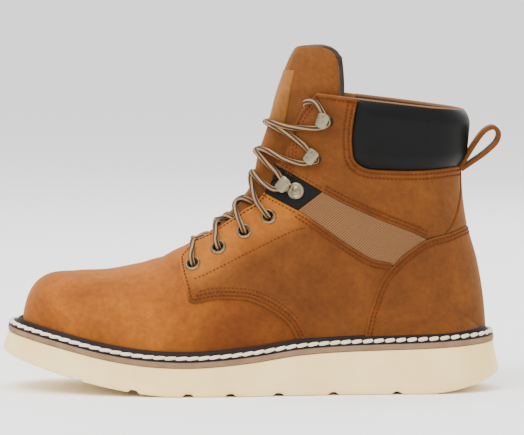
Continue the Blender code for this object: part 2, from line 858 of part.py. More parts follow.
TONGUE_THICKNESS = 0.0036
TONGUE_SINK = 0.0022
TONGUE_RISE = 0.0285
TONGUE_TILT = 0.0125
TONGUE_WRAP = 0.020
TONGUE_EDGE_SHARE = 0.60
TONGUE_ROWS = [7.6] + [row for row in RINGS if row >= THROAT_ROW]
TONGUE_STEPS = 5
TONGUE_TOP = [
    # share of the rise, narrowing, fall at the side edges
    (0.35, 0.990, 0.00),
    (0.70, 0.965, 0.00),
    (0.92, 0.935, 0.01),
    (1.00, 0.900, 0.03),
]
LOOP_STRAP = 0.0027
LOOP_REACH = 0.0228
LOOP_RISE = 0.0258
LOOP_WIDTH = 0.018
EYELET_RADIUS = 0.0049
EYELET_HOLE = 0.0026
EYELET_HEIGHT = 0.0011
BARREL_WALL = 0.0006
RIVET_RADIUS = 0.0052
RIVET_HEIGHT = 0.0022
HOOK_LENGTH = 0.0078
HOOK_WIDTH = 0.0094
HOOK_METAL = 0.0009
HOOK_STAND = 0.0042
LACE_RADIUS = 0.00165
HOOK_FRONT = 0.13
SEAT = 0.0007

EYELETS = [
    # along, climb
    (0.388, 0.348),
    (0.438, 0.404),
    (0.488, 0.458),
    (0.538, 0.509),
]
HOOKS = [
    # along, climb
    (0.563, 0.637),
    (0.624, 0.737),
    (0.648, 0.883),
]
RIVET = (0.592, 0.606)


def eased(value):
    value = min(max(value, 0.0), 1.0)
    return value * value * (3 - 2 * value)


def front_gap(z):
    """Half the throat's opening at a height on the front of the boot."""
    rows = last_rows(np.linspace(THROAT_ROW, len(LAST) - 1, 60))
    return float(np.interp(z, rows["top"][1], rows["half_gap"]))


def tongue_depth(vertex):
    """How far the tongue's face lies from the last's skin: under the eyestay, and level in the gap."""
    gap = front_gap(vertex.co.z)
    level = eased((0.8 * gap - abs(vertex.co.y)) / (0.45 * gap + 3.5 * CLEARANCE))
    return -(WALL + TONGUE_SINK) * (1 - level)


def tongue_top(crown, share, narrow, fall):
    """A ring of the tongue above the collar, from the ring at the collar's height."""
    level = crown[-1, 2] - crown[:, 2]
    sideways = 1 - shares_up(len(crown))
    ring = crown.copy()
    ring[:, 0] += TONGUE_TILT * share - TONGUE_WRAP * sideways**1.3 * share**0.6
    ring[:, 1] *= narrow
    ring[:, 2] += TONGUE_RISE * (share - fall * sideways**3) + level * share
    return ring


def shares_up(count):
    return np.linspace(0, 1, count)


def tongue(material):
    shares = np.linspace(TONGUE_EDGE_SHARE, 1, TONGUE_STEPS + 1)
    patches = []
    for side in (LATERAL, MEDIAL):
        points = skin(TONGUE_ROWS, shares, side, closed=True)
        tops = [tongue_top(points[-1], *row) for row in TONGUE_TOP]
        points = np.concatenate([points, np.array(tops)])
        made, quads = patch(points)
        patches.append((made, quads if side == LATERAL else quads[:, ::-1]))
    sheet = welded_sheet(patches)

    def face(vertex):
        return tongue_depth(vertex)

    def lining(vertex):
        return tongue_depth(vertex) - TONGUE_THICKNESS

    return add_node("tongue", thickened(sheet, face, lining), material)


def located(along, climb, side):
    """The row number and the share up its closed ring of a place in the side view."""
    x, z = side_view(along, climb)
    at = np.linspace(8, 20, 361)
    share = np.linspace(0, 1, 121)
    grid = skin(at, share, side, closed=True)
    gap = (grid[:, :, 0] - x) ** 2 + (grid[:, :, 2] - z) ** 2
    row, column = np.unravel_index(np.argmin(gap), gap.shape)
    return at[row], share[column]


def frame_at(row, share, side):
    """A frame on the skin: X up the ring, Z out of the leather."""
    near = skin([row - 0.04, row + 0.04], [share - 0.01, min(share + 0.01, 1.0)], side, closed=True)
    up_ring = Vector(near[:, 1].sum(axis=0) - near[:, 0].sum(axis=0)).normalized()
    along_rows = Vector(near[1].sum(axis=0) - near[0].sum(axis=0)).normalized()
    outward = side * up_ring.cross(along_rows).normalized()
    across = outward.cross(up_ring)
    frame = Matrix((up_ring, across, outward)).transposed().to_4x4()
    frame.translation = Vector(near.reshape(-1, 3).mean(axis=0))
    return frame


def perch(along, climb, side, lift):
    """A frame on the upper, lifted out of the leather."""
    return frame_at(*located(along, climb, side), side) @ Matrix.Translation((0, 0, lift))


def turned(profile, segments):
    """A solid ring from a closed profile of radius and height."""
    ring = bmesh.new()
    loops = []
    for k in range(segments):
        angle = 2 * math.pi * k / segments
        loops.append([ring.verts.new((r * math.cos(angle), r * math.sin(angle), h)) for r, h in profile])
    for k in range(segments):
        band(ring, loops[k], loops[(k + 1) % segments])
    return ring


def eyelet_solid():
    outer = EYELET_HOLE + BARREL_WALL
    foot = -(WALL + LEATHER)
    profile = [
        (EYELET_HOLE, foot),
        (outer, foot),
        (outer, CLEARANCE),
        (EYELET_RADIUS, CLEARANCE),
        (0.85 * EYELET_RADIUS, CLEARANCE + 0.8 * EYELET_HEIGHT),
        (0.68 * EYELET_RADIUS, CLEARANCE + EYELET_HEIGHT),
        (EYELET_HOLE, CLEARANCE + 0.5 * EYELET_HEIGHT),
    ]
    return turned(profile, 8)


def lathed(profile, segments):
    """A round solid with flat ends, from a profile of radius and height that goes upwards."""
    solid = bmesh.new()
    spots = [2 * math.pi * k / segments for k in range(segments)]
    loops = []
    for radius, height in profile:
        loops.append([solid.verts.new((radius * math.cos(a), radius * math.sin(a), height)) for a in spots])
    for lower, higher in zip(loops, loops[1:]):
        band(solid, lower, higher)
    solid.faces.new(loops[0][::-1])
    solid.faces.new(loops[-1])
    return solid


def rivet_solid():
    """A rivet's head: flat underneath, with a raised rim round a lower middle."""
    rows = [(1.0, 0.0), (1.0, 0.25), (0.86, 0.62), (0.62, 0.80), (0.50, 0.72)]
    return lathed([(share * RIVET_RADIUS, rise * RIVET_HEIGHT) for share, rise in rows], 9)


def eyelet_room():
    """What an eyelet needs cut away: a hole for its barrel, and a seat for its flange from there up."""
    barrel = EYELET_HOLE + BARREL_WALL + CLEARANCE
    flange = EYELET_RADIUS + CLEARANCE
    depth = 2 * (WALL + LEATHER)
    return lathed([(barrel, -depth), (barrel, 0.0), (flange, 0.0), (flange, depth)], 9)


def extruded(outline, half_width):
    """A prism of an outline in X and Z, between two places in Y."""
    prism = bmesh.new()
    front = [prism.verts.new((x, -half_width, z)) for x, z in outline]
    back = [prism.verts.new((x, half_width, z)) for x, z in outline]
    prism.faces.new(front)
    prism.faces.new(back[::-1])
    band(prism, front, back)
    return prism


def ribbon(path, thickness):
    """The outline of a strip that follows a path."""
    path = np.asarray(path, float)
    ahead = np.gradient(path, axis=0)
    ahead /= np.linalg.norm(ahead, axis=1)[:, None]
    across = np.stack([-ahead[:, 1], ahead[:, 0]], axis=1) * thickness / 2
    return np.vstack([path + across, (path - across)[::-1]])


def hook_solid():
    """A speed hook: a foot plate, a bend that stands up, and a cap that curls back over it."""
    reach = HOOK_LENGTH / 2
    rows = [(0.95, 0.0), (0.2, 0.0), (-0.55, 0.02), (-0.92, 0.30), (-0.90, 0.70), (-0.50, 0.98), (0.35, 1.02),
            (0.80, 0.90)]
    path = spline([(x * reach, z * HOOK_STAND + HOOK_METAL / 2 + CLEARANCE) for x, z in rows],
                  np.linspace(0, len(rows) - 1, 10))
    return extruded(ribbon(path, HOOK_METAL), HOOK_WIDTH / 2)


def pull_loop(material):
    root_x = float(FEATHER.along(0.962))
    low = COLLAR_BACK_HEIGHT * 0.797
    rows = [(0.0, 0.022), (0.18, 0.18), (0.42, 0.58), (0.62, 0.84), (0.80, 0.93), (0.90, 0.78), (0.84, 0.56),
            (0.60, 0.34), (0.36, 0.17), (0.16, -0.02)]
    reach, rise = LOOP_REACH, LOOP_RISE
    path = spline([(root_x + x * reach, low + z * rise) for x, z in rows], np.linspace(0, len(rows) - 1, 20))
    return add_node("pull_loop", extruded(ribbon(path, LOOP_STRAP), LOOP_WIDTH / 2), material)


def tube(path, radius, sides=5):
    """A closed round bar along a path of points."""
    bar = bmesh.new()
    path = [Vector(point) for point in path]
    rings = []
    for k, point in enumerate(path):
        ahead = (path[min(k + 1, len(path) - 1)] - path[max(k - 1, 0)]).normalized()
        across = ahead.cross(Vector((1, 0, 0.5))).normalized()
        upward = ahead.cross(across)
        spots = [2 * math.pi * n / sides for n in range(sides)]
        rings.append([bar.verts.new(point + radius * (across * math.cos(a) + upward * math.sin(a))) for a in spots])
    for lower, higher in zip(rings, rings[1:]):
        band(bar, lower, higher)
    bar.faces.new(rings[0][::-1])
    bar.faces.new(rings[-1])
    bmesh.ops.recalc_face_normals(bar, faces=bar.faces)
    return bar


def strand(here, there, side):
    """A lace strand, out of one side's eyelet or hook, over the tongue and in under the other eyestay."""
    row, share, lift = here
    end_row, end_share, end_lift = there
    crossing = (row + end_row) / 2
    count = 11
    path = []
    for k in range(count):
        t = 2 * k / (count - 1) - 1
        if t <= 0:
            spot = (row + (crossing - row) * (1 + t), 1 + (share - 1) * -t, side)
            rise = lift * -t
        else:
            spot = (crossing + (end_row - crossing) * t, 1 + (end_share - 1) * t, -side)
            rise = end_lift * t
        path.append(frame_at(*spot) @ Vector((0, 0, LACE_RADIUS + 2 * CLEARANCE + rise)))
    return path


def lace(index, starts, ends, material):
    """A crossing of two strands, joined where they cross."""
    node = add_node(f"lace_{index}", tube(strand(starts[LATERAL], ends[MEDIAL], LATERAL), LACE_RADIUS), material)
    mesh = bpy.data.meshes.new(f"lace_{index}_other")
    other = tube(strand(starts[MEDIAL], ends[LATERAL], MEDIAL), LACE_RADIUS)
    other.to_mesh(mesh)
    other.free()
    cut(node, hidden(f"lace_{index}_other", mesh), "UNION")
    return node


def laces(material):
    """Six crossings: each strand leaves an eyelet or hook and goes to the next one up on the other side."""
    spots = EYELETS + HOOKS
    places = {side: [located(*spot, side) for spot in spots] for side in (LATERAL, MEDIAL)}
    over_eyelet = LEATHER + SEAT + EYELET_HEIGHT + CLEARANCE
    for index in range(len(EYELETS) + len(HOOKS) - 1):
        starts, ends = {}, {}
        for side, found in places.items():
            row, share = found[index]
            if index < len(EYELETS):
                starts[side] = (row, share + 0.01, over_eyelet)
            else:
                starts[side] = (row + 0.22, share + HOOK_FRONT, LEATHER + CLEARANCE)
            row, share = found[index + 1]
            ends[side] = (row - 0.22, *under_edge(row, side))
        lace(index + 1, starts, ends, material)


def under_edge(row, side):
    """The share at which a strand meets the eyestay's edge, just clear of it, and its lift there."""
    rows = last_rows(row)
    gap = rows["half_gap"][0] - 1.6 * LACE_RADIUS - 2 * CLEARANCE
    share = np.linspace(0.5, 1, 101)
    ring = skin([row], share, side, closed=True)[0]
    inside = np.abs(ring[:, 1] - rows["ridge"][0]) < gap
    return share[np.argmax(inside)], 0.0


def metalware(side, word, metal, leather_nodes):
    holes = bmesh.new()
    for count, (along, climb) in enumerate(EYELETS, 1):
        frame = perch(along, climb, side, LEATHER + SEAT)
        made = eyelet_solid()
        made.transform(frame)
        add_node(f"eyelet_{word}_{count}", made, metal)
        room = eyelet_room()
        room.transform(frame)
        piece = bpy.data.meshes.new("eyelet_room")
        room.to_mesh(piece)
        room.free()
        holes.from_mesh(piece)
        bpy.data.meshes.remove(piece)
    mesh = bpy.data.meshes.new("eyelet_holes_" + word)
    holes.to_mesh(mesh)
    holes.free()
    tool = hidden("eyelet_holes_" + word, mesh)
    for node in leather_nodes:
        cut(node, tool, "DIFFERENCE")
    for count, (along, climb) in enumerate(HOOKS, 1):
        frame = perch(along, climb, side, LEATHER)
        made = hook_solid()
        spin = Matrix.Rotation(math.radians(180), 4, "Z")
        made.transform(frame @ spin)
        add_node(f"hook_{word}_{count}", made, metal)
    rivet = rivet_solid()
    rivet.transform(perch(*RIVET, side, LEATHER + SEAT))
    add_node(f"rivet_{word}", rivet, metal)


def main():
    clear_scene()
    cream = make_material("cream_rubber", (0.86, 0.78, 0.62), 0.65)
    taupe = make_material("taupe_midsole", (0.45, 0.36, 0.29), 0.7)
    brown = make_material("brown_welt", (0.10, 0.06, 0.05), 0.5)
    tan = make_material("tan_nubuck", (0.45, 0.20, 0.07), 0.8)
    black = make_material("black_leather", (0.02, 0.02, 0.02), 0.45)
    webbing = make_material("tan_webbing", (0.45, 0.26, 0.11), 0.9)
    footbed = make_material("footbed_cloth", (0.12, 0.09, 0.07), 0.9)
    metal = make_material("antique_nickel", (0.46, 0.42, 0.33), 0.35, 1.0)
    cord = make_material("striped_lace", (0.42, 0.28, 0.15), 0.85)
    add_node("outsole", outsole(), cream)
    add_node("midsole", midsole(), taupe)
    add_node("welt", welt(), brown)
    add_node("insole", insole(), footbed)
    shell = add_node("upper", upper(), tan)
    for side, word in ((LATERAL, "lateral"), (MEDIAL, "medial")):
        facing = quarter(side, "quarter_" + word, tan)
        shaft_panel(side, "shaft_panel_" + word, tan)
        strap(side, "strap_" + word, webbing)
        hook_patch(side, "hook_patch_" + word, black)
        metalware(side, word, metal, (shell, facing))
    counter(tan)
    backstay(tan)
    collar(black)
    tongue(tan)
    pull_loop(tan)
    laces(cord)


main()
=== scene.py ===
"""Looks of the wedge sole work boot: nubuck upper, padded collar, striped lace, stitched welt, cream sole.

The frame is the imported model: toe along -X, heel along +X, outer (lateral) side facing -Y, +Z up, metres.
"""

import math

import bmesh
import bpy
import numpy as np
from mathutils import Matrix, Vector
from mathutils.bvhtree import BVHTree
from mathutils.kdtree import KDTree


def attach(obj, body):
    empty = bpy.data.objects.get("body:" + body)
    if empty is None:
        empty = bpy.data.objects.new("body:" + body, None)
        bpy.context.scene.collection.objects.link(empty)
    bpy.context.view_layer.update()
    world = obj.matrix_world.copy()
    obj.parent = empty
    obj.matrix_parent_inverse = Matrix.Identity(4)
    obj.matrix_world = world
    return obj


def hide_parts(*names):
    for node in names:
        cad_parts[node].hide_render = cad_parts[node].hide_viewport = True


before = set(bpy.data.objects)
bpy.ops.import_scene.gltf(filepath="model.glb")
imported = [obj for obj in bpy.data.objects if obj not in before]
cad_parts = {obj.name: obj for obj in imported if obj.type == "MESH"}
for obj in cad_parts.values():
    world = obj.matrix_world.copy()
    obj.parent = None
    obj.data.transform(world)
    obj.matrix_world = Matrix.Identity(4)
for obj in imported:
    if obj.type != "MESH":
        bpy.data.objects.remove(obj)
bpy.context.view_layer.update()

LATERAL = -1
MEDIAL = 1
SIDES = ((LATERAL, "lateral"), (MEDIAL, "medial"))
MM = 0.001

# Sole
SOLE_LENGTH = 0.311
BALL_WIDTH = 0.118
HEEL_WIDTH = 0.084
TOE_SWING = 0.009
WALL_FLARE = 0.0033
BALL_THICKNESS = 0.0175
HEEL_THICKNESS = 0.030
TOE_SPRING = 0.024
HEEL_BEVEL = 0.0105
MIDSOLE_THICKNESS = 0.0038
NOTCH_DEPTH = 0.0018
NOTCH_MOUTH = 0.0075
NOTCH_FLOOR = 0.0032

# Welt
WELT_WIDTH_TOE = 0.0087
WELT_WIDTH_HEEL = 0.0058
RIB_HEIGHT = 0.0055
RIB_WIDTH = 0.0026

# Upper
TOE_BOX_HEIGHT = 0.073
SHAFT_HEIGHT = 0.1885
COLLAR_BACK_HEIGHT = 0.175
THROAT_GAP = 0.042
WALL = 0.0020
INSOLE_THICKNESS = 0.0030
CLEARANCE = 0.0003

LATERAL_FOREFOOT = [
    # along, across
    (0.010, 0.100),
    (0.034, 0.205),
    (0.078, 0.305),
    (0.140, 0.383),
    (0.215, 0.446),
    (0.300, 0.490),
    (0.380, 0.500),
    (0.455, 0.485),
]
LATERAL_REARFOOT = [
    # along, across
    (0.535, 0.635),
    (0.625, 0.575),
    (0.725, 0.525),
    (0.820, 0.500),
    (0.895, 0.465),
    (0.950, 0.370),
    (0.986, 0.215),
]
MEDIAL_FOREFOOT = [
    # along, across
    (0.009, 0.215),
    (0.030, 0.305),
    (0.070, 0.375),
    (0.130, 0.425),
    (0.200, 0.455),
    (0.280, 0.468),
    (0.355, 0.460),
    (0.435, 0.425),
]
MEDIAL_REARFOOT = [
    # along, across
    (0.520, 0.548),
    (0.615, 0.512),
    (0.715, 0.497),
    (0.815, 0.490),
    (0.893, 0.455),
    (0.950, 0.362),
    (0.986, 0.210),
]
SOLE_TOP = [
    # along, spring, ball, heel
    (0.00, 1.00, 0.75, 0.00),
    (0.06, 0.75, 0.85, 0.00),
    (0.12, 0.48, 0.97, 0.00),
    (0.20, 0.22, 1.00, 0.00),
    (0.28, 0.06, 1.00, 0.00),
    (0.36, 0.00, 1.00, 0.00),
    (0.43, 0.00, 0.82, 0.13),
    (0.51, 0.00, 0.45, 0.43),
    (0.59, 0.00, 0.20, 0.70),
    (0.67, 0.00, 0.05, 0.85),
    (0.76, 0.00, 0.00, 0.91),
    (0.86, 0.00, 0.00, 0.94),
    (0.94, 0.00, 0.00, 0.985),
    (1.00, 0.00, 0.00, 1.03),
]
TOE_SPRING_START = 0.35
TOE_SPRING_CURVE = 1.6
HEEL_BEVEL_START = 0.85
HEEL_BEVEL_CURVE = 1.8
NOTCHES = (0.157, 0.269, 0.377, 0.461, 0.556, 0.665, 0.792)

LAST = [
    # top along, rise, foot along, back, girth, belly, full, swing, gap
    (0.000, 0.000, 0.000, 0.00, 0.000, 0.00, 2.50, 1.00, 0.00),
    (0.003, 0.270, 0.003, 0.00, 0.000, 0.00, 2.50, 1.00, 0.00),
    (0.014, 0.600, 0.014, 0.00, 0.000, 0.00, 2.50, 0.98, 0.00),
    (0.033, 0.830, 0.033, 0.00, 0.000, 0.00, 2.50, 0.95, 0.00),
    (0.064, 0.965, 0.064, 0.00, 0.000, 0.00, 2.50, 0.90, 0.00),
    (0.115, 1.000, 0.115, 0.00, 0.000, 0.00, 2.45, 0.80, 0.00),
    (0.190, 1.012, 0.190, 0.00, 0.000, 0.00, 2.40, 0.60, 0.00),
    (0.267, 1.055, 0.272, 0.00, 0.000, 0.00, 2.45, 0.40, 0.00),
    (0.336, 1.117, 0.365, 0.00, 0.000, 0.00, 2.55, 0.22, 0.00),
    (0.396, 1.215, 0.480, 0.00, 0.000, 0.02, 2.60, 0.12, 0.80),
    (0.450, 1.345, 0.620, 0.00, 0.430, 0.08, 2.60, 0.05, 0.92),
    (0.485, 1.450, 0.765, 0.00, 0.428, 0.20, 2.50, 0.00, 0.96),
    (0.501, 1.540, 0.878, 0.00, 0.425, 0.32, 2.40, 0.00, 0.98),
    (0.511, 1.620, 0.948, 0.00, 0.421, 0.41, 2.35, 0.00, 1.10),
    (0.519, 1.680, 0.984, 0.00, 0.417, 0.47, 2.30, 0.00, 1.15),
    (0.526, 1.730, 0.995, 0.00, 0.413, 0.50, 2.25, 0.00, 1.14),
    (0.532, 1.775, 0.990, 0.16, 0.408, 0.50, 2.25, 0.00, 1.10),
    (0.538, 1.825, 0.976, 0.33, 0.402, 0.50, 2.25, 0.00, 1.09),
    (0.544, 1.880, 0.954, 0.50, 0.400, 0.50, 2.25, 0.00, 1.12),
    (0.550, 1.940, 0.943, 0.72, 0.415, 0.50, 2.25, 0.00, 1.25),
    (0.557, 2.000, 0.953, 1.00, 0.445, 0.50, 2.25, 0.00, 1.50),
]
HEEL_CORNER_ROW = 15
THROAT_ROW = 8
RIM_ROW = len(LAST) - 1

# Seam lines in the side view. Along is a share of the sole's length, and climb a share of the way up
# from the welt to the front of the shaft.
QUARTER_FRONT = [
    # along, climb
    (0.593, 0.027),
    (0.579, 0.084),
    (0.559, 0.128),
    (0.529, 0.173),
    (0.499, 0.203),
    (0.470, 0.215),
    (0.430, 0.221),
    (0.400, 0.212),
    (0.379, 0.214),
    (0.372, 0.261),
    (0.363, 0.317),
    (0.358, 0.366),
]
STRAP_LOWER = [
    # along, climb
    (0.595, 0.530),
    (0.629, 0.485),
    (0.679, 0.412),
    (0.737, 0.338),
    (0.778, 0.316),
]
STRAP_UPPER = [
    # along, climb
    (0.643, 0.600),
    (0.688, 0.551),
    (0.757, 0.488),
    (0.816, 0.440),
    (0.849, 0.408),
]
COUNTER_FRONT = [
    # along, climb
    (0.736, 0.119),
    (0.756, 0.226),
    (0.768, 0.268),
    (0.782, 0.300),
]
COUNTER_TOP = [
    # along, climb
    (0.782, 0.300),
    (0.804, 0.342),
    (0.828, 0.377),
    (0.854, 0.405),
    (0.888, 0.419),
    (0.914, 0.434),
    (0.942, 0.449),
    (1.020, 0.470),
]
BACKSTAY_EDGE = [
    # along, climb
    (0.886, 0.418),
    (0.900, 0.455),
    (0.911, 0.516),
    (0.917, 0.598),
    (0.919, 0.686),
]
COLLAR_LOWER = [
    # along, climb
    (0.711, 0.712),
    (0.730, 0.690),
    (0.768, 0.682),
    (0.837, 0.678),
    (0.919, 0.686),
    (1.020, 0.686),
]
COLLAR_FRONT = [
    # along, climb
    (0.711, 0.712),
    (0.704, 0.745),
    (0.703, 0.840),
    (0.713, 0.962),
]
PATCH_LOWER = [
    # along, climb
    (0.531, 0.600),
    (0.595, 0.530),
]
PATCH_UPPER = [
    # along, climb
    (0.545, 0.717),
    (0.571, 0.685),
    (0.643, 0.600),
]
EYESTAY_STITCH = [
    # along, climb
    (0.388, 0.295),
    (0.412, 0.312),
    (0.460, 0.352),
    (0.507, 0.391),
    (0.545, 0.420),
    (0.588, 0.452),
    (0.612, 0.462),
]
QUARTER_START = 0.597
COUNTER_START = 0.725
EYELETS = [
    # along, climb
    (0.388, 0.348),
    (0.438, 0.404),
    (0.488, 0.458),
    (0.538, 0.509),
]
HOOKS = [
    # along, climb
    (0.572, 0.627),
    (0.624, 0.737),
    (0.648, 0.883),
]
RIVET = (0.592, 0.606)

# Leather and padding over the last
LEATHER = 0.0015
COUNTER_LEATHER = 0.0024
BACKSTAY_LEATHER = 0.0021
COLLAR_PAD = 0.0052
WEBBING = 0.0012

# How far apart the points of a seam line lie, and how far the stitch rows lie from their seams
SEAM_STEP = 0.7 * MM
EDGE_ROWS = (2.2 * MM,)
SEAM_ROWS = (2.0 * MM, 4.2 * MM)
FRONT_ROWS = (2.2 * MM, 4.4 * MM)
COLLAR_ROWS = (2.2 * MM, 5.2 * MM)

# How deep and wide the stitch rows sink into the leather, and how far its edges sink into the shell
CHANNEL_DEPTH = 0.45 * MM
CHANNEL_WIDTH = 0.6 * MM
EDGE_SINK = 0.25 * MM

# The radii of the eyelet holes
SHELL_HOLE = 2.9 * MM
QUARTER_HOLE = 3.3 * MM


# Curves of the sole and the last

def spline(rows, at, closed=False):
    """Rows of a table read at row numbers such as 2.5, along a smooth curve through every row."""
    rows = np.asarray(rows, float)
    at = np.atleast_1d(np.asarray(at, float))
    if closed:
        padded = np.vstack([rows[-1:], rows, rows[:2]])
        last = len(rows)
    else:
        padded = np.vstack([2 * rows[:1] - rows[1:2], rows, 2 * rows[-1:] - rows[-2:-1]])
        last = len(rows) - 1
    start = np.clip(np.floor(at).astype(int), 0, last - 1)
    t = (at - start)[:, None]
    before, first, second, after = (padded[start + k] for k in range(4))
    bend = 2 * before - 5 * first + 4 * second - after
    twist = 3 * first - before - 3 * second + after
    return 0.5 * (2 * first + (second - before) * t + bend * t**2 + twist * t**3)


def power(value, exponent):
    return np.sign(value) * np.abs(value) ** exponent


class Contour:
    """A closed line round the foot, seen from above, as two halves from the toe tip to the heel."""

    def __init__(self, lateral, medial):
        self.halves = {LATERAL: np.asarray(lateral), MEDIAL: np.asarray(medial)}
        self.toe = float(lateral[0][0])
        self.heel = float(lateral[-1][0])

    def across(self, x, side):
        half = self.halves[side]
        return np.interp(x, half[:, 0], half[:, 1])

    def along(self, share):
        return self.toe + np.asarray(share) * (self.heel - self.toe)

    def ring(self):
        return np.vstack([self.halves[LATERAL], self.halves[MEDIAL][-2:0:-1]])

    def grown(self, distance):
        """The contour moved outwards by a distance, which may be a function of the share along."""
        points = self.ring()
        outward = outward_of(points)
        share = (points[:, 0] - self.toe) / (self.heel - self.toe)
        reach = distance(share) if callable(distance) else np.full(len(points), distance)
        return contour_of(points + outward * reach[:, None])


def unit(vectors):
    """Vectors made one long."""
    return vectors / np.linalg.norm(vectors, axis=-1, keepdims=True)


def outward_of(points):
    """Unit vectors out of a closed line that runs from the toe along the lateral side."""
    ahead = np.roll(points, -1, axis=0) - np.roll(points, 1, axis=0)
    return unit(np.stack([ahead[:, 1], -ahead[:, 0]], axis=1))


def contour_of(points):
    """A contour from points that go from the toe along the lateral side to the heel and back."""
    toe = int(np.argmin(points[:, 0]))
    ring = np.roll(points, -toe, axis=0)
    heel = int(np.argmax(ring[:, 0]))
    lateral = ring[: heel + 1]
    medial = np.vstack([ring[heel:], ring[:1]])[::-1]
    return Contour(rising(lateral), rising(medial))


def rising(points):
    """The points whose X grows, which np.interp needs."""
    kept = [points[0]]
    for point in points[1:]:
        if point[0] > kept[-1][0]:
            kept.append(point)
    kept[-1] = points[-1]
    return np.array(kept)


def sole_outline():
    def placed(rows, width, side):
        return [((along - 0.5) * SOLE_LENGTH, side * across * width) for along, across in rows]

    lateral = placed(LATERAL_FOREFOOT, BALL_WIDTH, LATERAL)
    lateral += placed(LATERAL_REARFOOT, HEEL_WIDTH, LATERAL)
    medial = placed(MEDIAL_FOREFOOT, BALL_WIDTH, MEDIAL)
    medial += placed(MEDIAL_REARFOOT, HEEL_WIDTH, MEDIAL)
    toe = [(-0.5 * SOLE_LENGTH, TOE_SWING)]
    heel = [(0.5 * SOLE_LENGTH, 0.0)]
    ring = toe + lateral + heel + medial[::-1]
    return contour_of(spline(ring, np.linspace(0, len(ring), 40 * len(ring), endpoint=False), True))


def welt_width(share):
    return WELT_WIDTH_TOE + (WELT_WIDTH_HEEL - WELT_WIDTH_TOE) * share


FOOT_OF_WALL = sole_outline()
SOLE_EDGE = FOOT_OF_WALL.grown(-WALL_FLARE)
FEATHER = SOLE_EDGE.grown(lambda share: -welt_width(share))


def share_along_sole(x):
    return np.asarray(x) / SOLE_LENGTH + 0.5


def outsole_top(x):
    table = np.array(SOLE_TOP)
    dense = spline(table, np.linspace(0, len(table) - 1, 200))
    parts = dense[:, 1:] @ np.array([TOE_SPRING, BALL_THICKNESS, HEEL_THICKNESS])
    return np.interp(share_along_sole(x), dense[:, 0], parts)


def tread(x):
    """Height of the underside without its notches: flat, with the toe sprung and the heel bevelled."""
    share = share_along_sole(x)
    toe = np.clip((TOE_SPRING_START - share) / TOE_SPRING_START, 0, None)
    heel = np.clip((share - HEEL_BEVEL_START) / (1 - HEEL_BEVEL_START), 0, None)
    return TOE_SPRING * toe**TOE_SPRING_CURVE + HEEL_BEVEL * heel**HEEL_BEVEL_CURVE


def notched_tread(x):
    """The underside with its notches, which open smoothly from their floor to their mouth."""
    depth = np.zeros_like(np.asarray(x, float))
    for share in NOTCHES:
        away = np.abs(x - (share - 0.5) * SOLE_LENGTH)
        slope = (NOTCH_MOUTH - NOTCH_FLOOR) / 2
        open_share = np.clip((NOTCH_MOUTH / 2 - away) / slope, 0, 1)
        depth = np.maximum(depth, open_share**2 * (3 - 2 * open_share))
    return tread(x) + NOTCH_DEPTH * depth


def midsole_top(x):
    return outsole_top(x) + MIDSOLE_THICKNESS


def feather_height(x):
    """Where the upper's lower edge sits, just above the midsole."""
    return midsole_top(x) + CLEARANCE


def last_rows(at):
    """The rings' columns at row numbers of the table, as lengths."""
    columns = spline(LAST, at).T
    top_along, rise, foot_along, back, girth, belly, full, swing, gap = columns
    at = np.atleast_1d(at)
    top_x = FEATHER.along(np.clip(top_along, 0, 1))
    foot_x = FEATHER.along(np.clip(foot_along, 0, 1))
    on_welt = at < HEEL_CORNER_ROW
    low = np.clip(rise, 0, 1)
    high = np.clip(rise - 1, 0, None)
    base = feather_height(top_x)
    welt_z = feather_height(foot_x)
    return {
        "top": (top_x, base + low * (TOE_BOX_HEIGHT - base) + high * (SHAFT_HEIGHT - TOE_BOX_HEIGHT)),
        "foot": (foot_x, welt_z + np.where(on_welt, 0, back) * (COLLAR_BACK_HEIGHT - welt_z)),
        "girth": np.clip(girth, 0, None) * HEEL_WIDTH,
        "belly": np.where(at <= THROAT_ROW, 0, belly),
        "full": full,
        "ridge": np.where(on_welt, swing, 0) * FEATHER.across(FEATHER.toe, MEDIAL),
        "half_gap": np.where(at <= THROAT_ROW, 0, np.clip(gap, 0, None)) * THROAT_GAP / 2,
        "on_welt": on_welt,
    }


def skin(at, share, side, closed=False):
    """Points of the last's surface: one ring for each row number, one point for each share up the ring.

    Share 0 is the ring's foot and share 1 the throat's edge, or the ridge where closed is true.
    """
    rows = last_rows(at)
    top_x, top_z = rows["top"]
    foot_x, foot_z = rows["foot"]
    edge = np.where(rows["on_welt"], side * (FEATHER.across(foot_x, side) - rows["ridge"]), 0)
    edge = np.clip(edge, 0, None)
    half = np.maximum(np.maximum(rows["girth"], 1.006 * edge), 1e-9)
    full = rows["full"]
    first = -np.arccos(np.clip(edge / half, 0, 1) ** (full / 2))
    last = np.full_like(first, math.pi / 2)
    if not closed:
        last = np.arccos(np.clip(rows["half_gap"] / half, 0, 1) ** (full / 2))
    angle = first[:, None] + np.asarray(share)[None, :] * (last - first)[:, None]
    exponent = (2 / full)[:, None]
    belly = rows["belly"][:, None]
    below = belly / np.abs(power(np.sin(first), 2 / full))[:, None]
    up = power(np.sin(angle), exponent)
    climb = belly + np.where(up > 0, 1 - belly, below) * up
    out = np.clip(np.cos(angle), 0, None) ** exponent
    x = foot_x[:, None] + climb * (top_x - foot_x)[:, None]
    z = foot_z[:, None] + climb * (top_z - foot_z)[:, None]
    y = rows["ridge"][:, None] + side * half[:, None] * out
    return np.stack([x, y, z], axis=2)


def side_view(along, climb):
    """A place in the side view from shares: along the sole, and up from the welt to the shaft's front."""
    x = (np.asarray(along) - 0.5) * SOLE_LENGTH
    low = feather_height(x)
    return np.stack([x, low + np.asarray(climb) * (SHAFT_HEIGHT - low)], axis=-1)


def drawn(rows, steps=8):
    """The side view points of a table of shares, as a smooth line."""
    table = np.array(rows)
    table = spline(table, np.linspace(0, len(table) - 1, steps * (len(table) - 1) + 1))
    return side_view(table[:, 0], table[:, 1])


